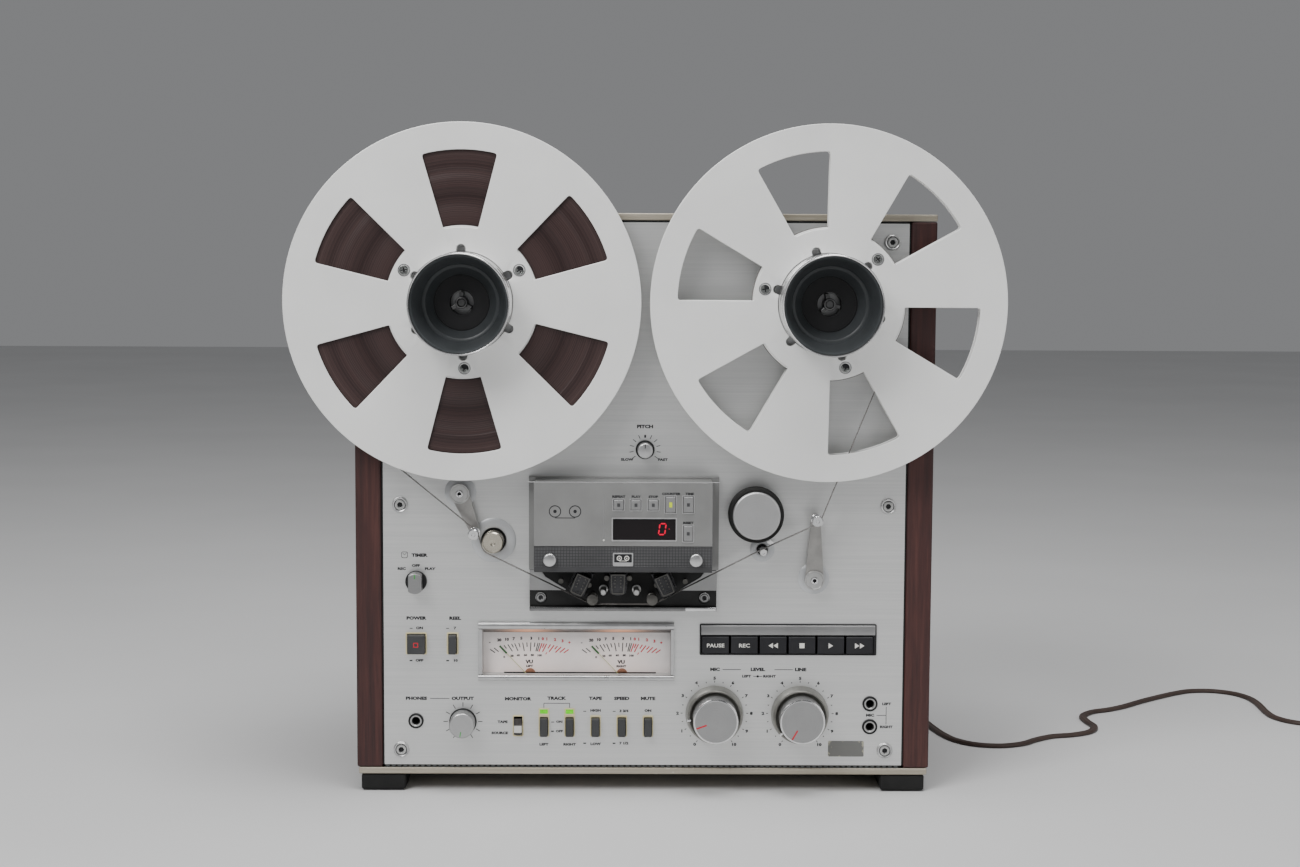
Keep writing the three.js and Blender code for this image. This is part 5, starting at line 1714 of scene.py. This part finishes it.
TX, TZ = -173.9, 163.5
foot = [(3.4, -0.3), (7.9, -0.3), (8.2, -0.7), (8.2, -2.5), (7.7, -3), (3.4, -3)]
bar_outline = arc(7.8, 50, 130, 12) + arc(7.8, 230, 310, 12)
bar_outline = [(x + TX, z + TZ) for x, z in bar_outline]
piece("timer_foot", turned(foot, TX, TZ, 64), BLACK, "timer_knob", "timer_knob")
piece("timer_bar", plate(bar_outline, -14, -3.05, edge=0.6, segments=3), spun("timer", TX, TZ, 0.28,
    0.36, 0.3),
      "timer_knob")
piece("timer_mark", pointer_mark(TX, TZ, 90, 3.8, 7.0, 1.0, -14), GREEN_INK, "timer_knob")
piece("timer_shaft", turned([(0, -2.9), (3.1, -2.9), (3.1, 14), (0, 14)], TX, TZ, 24, 0.3), STEEL,
      "timer_knob")

OX, OZ = -138.6, 54.6
foot = [(3.4, -0.3), (10.3, -0.3), (10.5, -0.6), (10.5, -1.4), (10, -2), (3.4, -2)]
face = [(0, -16), (8.7, -16), (9.2, -15.8), (9.6, -15.2), (9.6, -2.1), (0, -2.1)]
piece("output_foot", turned(foot, OX, OZ, 72), BLACK, "output_knob", "output_knob")
piece("output_face", turned(face, OX, OZ, 80), spun("output", OX, OZ, 0.42, 0.52), "output_knob")
piece("output_mark", pointer_mark(OX, OZ, 262, 4.6, 8.6, 0.8, -16), GREEN_INK, "output_knob")
piece("output_shaft", turned([(0, -2), (3.1, -2), (3.1, 14), (0, 14)], OX, OZ, 24, 0.3), STEEL, "output_knob")

for name, x, z, notch, mark in (("mic_level", 54.6, 61, 187, 200), ("line_level", 120.3, 61, 221, 240)):
    ring = [(4.5, -0.3), (21.9, -0.3), (22.2, -0.7), (22.2, -2), (21.2, -8.6), (20.7, -11.6),
            (20.3, -12), (19.6, -12),
            (19.1, -11.7), (17.9, -9.4), (17.0, -8.8), (4.5, -8.8)]
    ring_metal = turned_metal(f"{name}_ring_metal", (x / 1000, z / 1000), (0.26, 0.255, 0.235),
                              (0.36, 0.355, 0.33), 0.3, 0.85)
    piece(f"{name}_outer", turned(ring, x, z, 128), ring_metal, f"{name}_ring",
          f"{name}_ring")
    notch_block = moved(block(18.4, 21.6, -12.5, -11.0, -0.9, 0.9, 0.3), (x, 0, z), notch)
    piece(f"{name}_notch", notch_block, CHROME, f"{name}_ring")
    knob = [(0, -28), (15.9, -28), (16.5, -27.8), (17, -27.1), (17, -12.6), (16.6, -12.3), (0, -12.3)]
    piece(f"{name}_inner", turned(knob, x, z, 128), spun(name, x, z, 0.33, 0.41, 0.3), f"{name}_knob",
          f"{name}_knob")
    edge_ring = [(15.85, -28.02), (16.2, -28.0), (16.75, -27.75), (17.08, -27.05), (17.2, -27.05),
                 (16.85, -27.9), (16.25, -28.2),
                 (15.85, -28.15)]
    piece(f"{name}_bright_edge", turned(edge_ring, x, z, 128), CHROME, f"{name}_knob")
    piece(f"{name}_pointer", pointer_mark(x, z, mark, 7.4, 15.6, 1.1, -28), RED_INK, f"{name}_knob")
    shaft = turned([(0, -12.2), (3.9, -12.2), (3.9, 16), (0, 16)], x, z, 32, 0.3)
    piece(f"{name}_shaft", shaft, STEEL, f"{name}_knob")
print("knobs done")

# %% [markdown]
# ## Jacks, panel screws and a blank plate
#
# The jacks are black bushes with a bright sleeve. Six socket screws in cup washers hold the panel. A
# small worn metal plate is left without any lettering.

# %% Jacks and screws
bushes, sleeves, bores = [], [], []
for x, z in ((-174.6, 55.1), (174.2, 69.3), (174.2, 51.4)):
    bushes.append(turned([(4.45, -0.05), (4.45, -1.4), (5.4, -1.4), (5.9, -0.9), (5.9, -0.05)], x, z, 56))
    sleeves.append(turned([(3.15, 0.8), (3.15, -0.9), (3.5, -1.3), (4.3, -1.3), (4.4, -0.9),
                           (4.4, -0.05), (3.25, -0.05),
                           (3.25, 0.8)], x, z, 56))
    bores.append(turned([(2.6, 0.9), (3.2, 0.9), (3.2, 18), (0, 18), (0, 17), (2.6, 17)], x, z, 32))
piece("jack_bushes", together(*bushes), BLACK)
piece("jack_sleeves", together(*sleeves), STEEL)
piece("jack_bores", together(*bores), BLACK)
cups, heads_, floors = [], [], []
for i, (x, z) in enumerate(((-185.9, 32.9), (185.9, 32.9), (-185.9, 222.4), (185.9, 222.4),
                            (-186, 422.9), (186, 422.9))):
    cups.append(turned([(4.0, -0.05), (4.0, -0.8), (4.5, -2.0), (5.2, -2.3), (5.8, -1.7), (6.1, -0.05)],
                       x, z, 56))
    heads_.append(screw(x, z, -0.4, 3.9, "hex", 23 * i, 1.5))
    # painted shade: a dark disc in each panel screw's recess
    floors.append(turned([(0, -0.65), (3.95, -0.65), (3.95, -0.05), (0, -0.05)], x, z, 40))
piece("panel_cups", together(*cups), KNOB_SATIN)
piece("panel_screws", together(*heads_), STEEL)
piece("panel_screw_floors", together(*floors), INK_AND_SHADE)


def worn_plate():
    finish = Finish("worn_plate", metallic=0.7)
    patches = finish.noise(240, 5)
    x, _, z = finish.axes(finish.place((0.1561, 0, 0.034)))
    across, up = x / 0.0138, z / 0.0061
    near_edge = across * across + up * up
    worn = patches + near_edge * 0.13 > 0.74
    finish.put("Base Color", finish.blend(worn, (0.20, 0.20, 0.19), (0.44, 0.42, 0.33)))
    finish.put("Roughness", 0.3 + patches * 0.3)
    finish.bump(patches, 0.00004, 0.5)
    return finish.material


piece("blank_plate", plate(rounded(142.3, 169.9, 27.9, 40.1, 1.0), -0.35, -0.02, edge=0.1), worn_plate())
print("jacks and screws done")

# %% [markdown]
# ## Panel print
#
# Lettering and dial marks are printed in dark ink. They name functions only: power, reel size, output,
# monitor, tracks, tape, speed, mute, levels and microphones.

# %% Panel print
LABELS = [
    ("PITCH", 0.2, 282.6, 3.2), ("SLOW", -13.4, 257.4, 2.4), ("FAST", 13.8, 257.4, 2.4),
    ("TIMER", -171.4, 183.4, 3.1),
    ("OFF", -174.2, 175.4, 2.5), ("REC", -185.0, 173.0, 2.5), ("PLAY", -163.4, 173.0, 2.5),
    ("POWER", -174.1, 134.8, 3.1),
    ("REEL", -144.4, 134.8, 3.1), ("ON", -171.6, 127.2, 2.4), ("OFF", -171.8, 102.0, 2.4),
    ("7", -144.6, 127.2, 2.4),
    ("10", -144.2, 102.0, 2.4), ("PHONES", -174.3, 72.5, 3.1), ("OUTPUT", -138.8, 72.5, 3.1),
    ("MONITOR", -96.5, 72.3, 3.1),
    ("TRACK", -66.8, 72.8, 3.1), ("TAPE", -36.9, 72.8, 3.1), ("SPEED", -16.7, 72.8, 3.1),
    ("MUTE", 3.4, 72.8, 3.1),
    ("TAPE", -108.2, 54.3, 2.4), ("SOURCE", -110.4, 45.6, 2.4), ("ON", -64.6, 54.5, 2.2), ("OFF", -64.6,
        47.1, 2.2),
    ("LEFT", -76.5, 36.8, 2.4), ("RIGHT", -56.7, 36.8, 2.4), ("HIGH", -36.8, 63.4, 2.4), ("LOW", -36.8,
        37.2, 2.4),
    ("3 3/4", -15.0, 63.1, 2.4), ("7 1/2", -15.0, 37.8, 2.4), ("ON", 3.5, 63.4, 2.4), ("MIC", 54.7, 95.7,
        3.1),
    ("LEVEL", 87.6, 95.7, 3.1), ("LINE", 120.5, 95.7, 3.1), ("LEFT", 79.0, 90.4, 2.4), ("RIGHT", 96.6,
        90.4, 2.4),
    ("LEFT", 187.0, 69.1, 2.4), ("MIC", 174.4, 60.2, 2.6), ("RIGHT", 187.0, 51.1, 2.4)]
printed = [lettering(text, x, z, size * 1.06, wide=1.3) for text, x, z, size in LABELS]
for x0, z0, x1, z1 in ((-163.8, 72.5, -148.9, 72.5), (60.6, 95.7, 74.6, 95.7), (100.4, 95.7, 114.6,
    95.7), (-76.5, 69.0, -56.7, 69.0),
                       (-76.5, 65.6, -76.5, 69.0), (-56.7, 65.6, -56.7, 69.0), (179.4, 60.2, 186.8,
                           60.2), (186.8, 53.2, 186.8, 67.0),
                       (84.2, 90.4, 91.2, 90.4)):
    printed.append(stroke(x0, z0, x1, z1, 0.45))
printed += [plate(circle(0.95, 20, 87.6, 90.4), -0.08, -0.06)]
for x, z, up in ((-178.0, 127.2, 0), (-178.2, 102, 1), (-150.2, 127.2, 0), (-150.2, 102, 1),
                 (-69.7, 54.5, 0), (-69.9, 47.1, 1),
                 (-45.1, 63.0, 0), (-45.1, 37.8, 1), (-22.5, 63.0, 0), (-22.5, 37.8, 1)):
    printed.append(plate([(x - 1.1, z - 0.5), (x + 1.1, z - 0.5), (x + 1.1, z + 0.1 + 0.4 * up),
                          (x - 1.1, z + 0.1 + 0.4 * up)],
                         -0.05, -0.01))
clock = rounded(-185.2, -180.3, 181.3, 186.2, 1.2)
printed.append(plate(clock, -0.05, -0.01, [rounded(-184.8, -180.7, 181.7, 185.8, 1.0)]))
printed += [stroke(-182.7, 183.6, -184.1, 185.0, 0.35), stroke(-182.7, 183.6, -181.4, 185.2, 0.35)]
for k in range(11):
    printed.append(dial_mark(PX, PZ, 90 + 25 * (k - 5), 9.0 if k == 5 else 8.9, 11.2 if k == 5 else 12.0,
                             1.4 if k == 5 else 0.5))
    printed.append(dial_mark(OX, OZ, 90 + 30 * (k - 5), 11.6, 15.0, 0.55))
for x in (54.6, 120.3):
    for k in range(21):
        angle = 238 - 14.8 * k
        reach = (24.5, 26.0, 0.5) if k % 2 == 0 else (24.8, 25.8, 0.6)
        printed.append(dial_mark(x, 61, angle, *reach))
        if k % 2 == 0:
            nx, nz = x + 28.4 * math.cos(deg(angle)), 60.8 + 28.0 * math.sin(deg(angle))
            printed.append(lettering(str(k // 2), nx, nz, 3.0, wide=1.3))
piece("panel_print", together(*printed), INK_AND_SHADE)
print("print done:", len(LABELS), "labels")

# %% [markdown]
# ## Behind the panel
#
# Through the vents one can see into the case, so it is not left empty. Mounts stand behind the reel
# motors' rotors, and a transformer, a circuit board and its capacitors fill the floor.

# %% Behind the panel
COPPER_WIRE = moulded("copper_wire", (0.30, 0.12, 0.05), (0.44, 0.19, 0.09), 0.35, 900, 0.00006, metallic=0.8)
BOARD = moulded("board_tan", (0.20, 0.13, 0.05), (0.28, 0.19, 0.09), 0.55, 200, 0.00003)
IRON = moulded("core_iron", (0.10, 0.10, 0.11), (0.17, 0.17, 0.18), 0.5, 500, 0.0001, metallic=0.6)
CAN_BLUE = moulded("can_blue", (0.02, 0.05, 0.12), (0.04, 0.08, 0.18), 0.35)
mounts = []
for side in (-1, 1):
    mounts.append(turned([(8.6, 73.5), (50, 73.5), (52, 75), (52, 80), (8.6, 80)], side * 136.6, REEL_Z,
                         72, 0.3))
    mounts += [block(side * 136.6 - 60, side * 136.6 + 60, 80.1, 83, z, z + 12, 0.4) for z in (340, 402)]
mounts += [block(-190, 190, 84, 88, z, z + 10, 0.5) for z in (300, 424)]
mounts.append(turned([(3.2, 44.5), (26, 44.5), (28, 46), (28, 96), (26, 98), (3.2, 98)], *CAPSTAN_AT, 64,
                     0.4))
piece("motor_mounts", together(*mounts), IRON)
core = [block(-40, 40, 120, 176, 24, 88, 1.0), block(-46, -40.2, 116, 180, 22, 30, 0.5), block(40.2, 46,
    116, 180, 22, 30, 0.5)]
piece("transformer_core", together(*core), IRON)
piece("transformer_winding", together(block(-26, 26, 100, 119.8, 34, 78, 6, 4), block(-26, 26, 176.2,
    196, 34, 78, 6, 4)), COPPER_WIRE)
piece("main_board", block(-190, -60, 60, 190, 26, 27.6, 0.2), BOARD)
cans = []
rng = random.Random(11)
for i in range(22):
    x, y = -180 + 17.5 * (i % 7) + rng.uniform(-2, 2), 74 + 28 * (i // 7) + rng.uniform(-3, 3)
    tall, radius = rng.uniform(10, 28), rng.uniform(3, 6.5)
    can_ = turned([(0, 0), (radius, 0), (radius, -tall + 0.8), (radius - 0.8, -tall), (0, -tall)], 0, 0, 24)
    bmesh.ops.rotate(can_, verts=can_.verts, cent=(0, 0, 0), matrix=Matrix.Rotation(deg(-90), 3, "X"))
    bmesh.ops.translate(can_, verts=can_.verts, vec=(x, y, 27.7))
    cans.append(can_)
piece("board_parts", together(*cans), CAN_BLUE)
print("inside done")
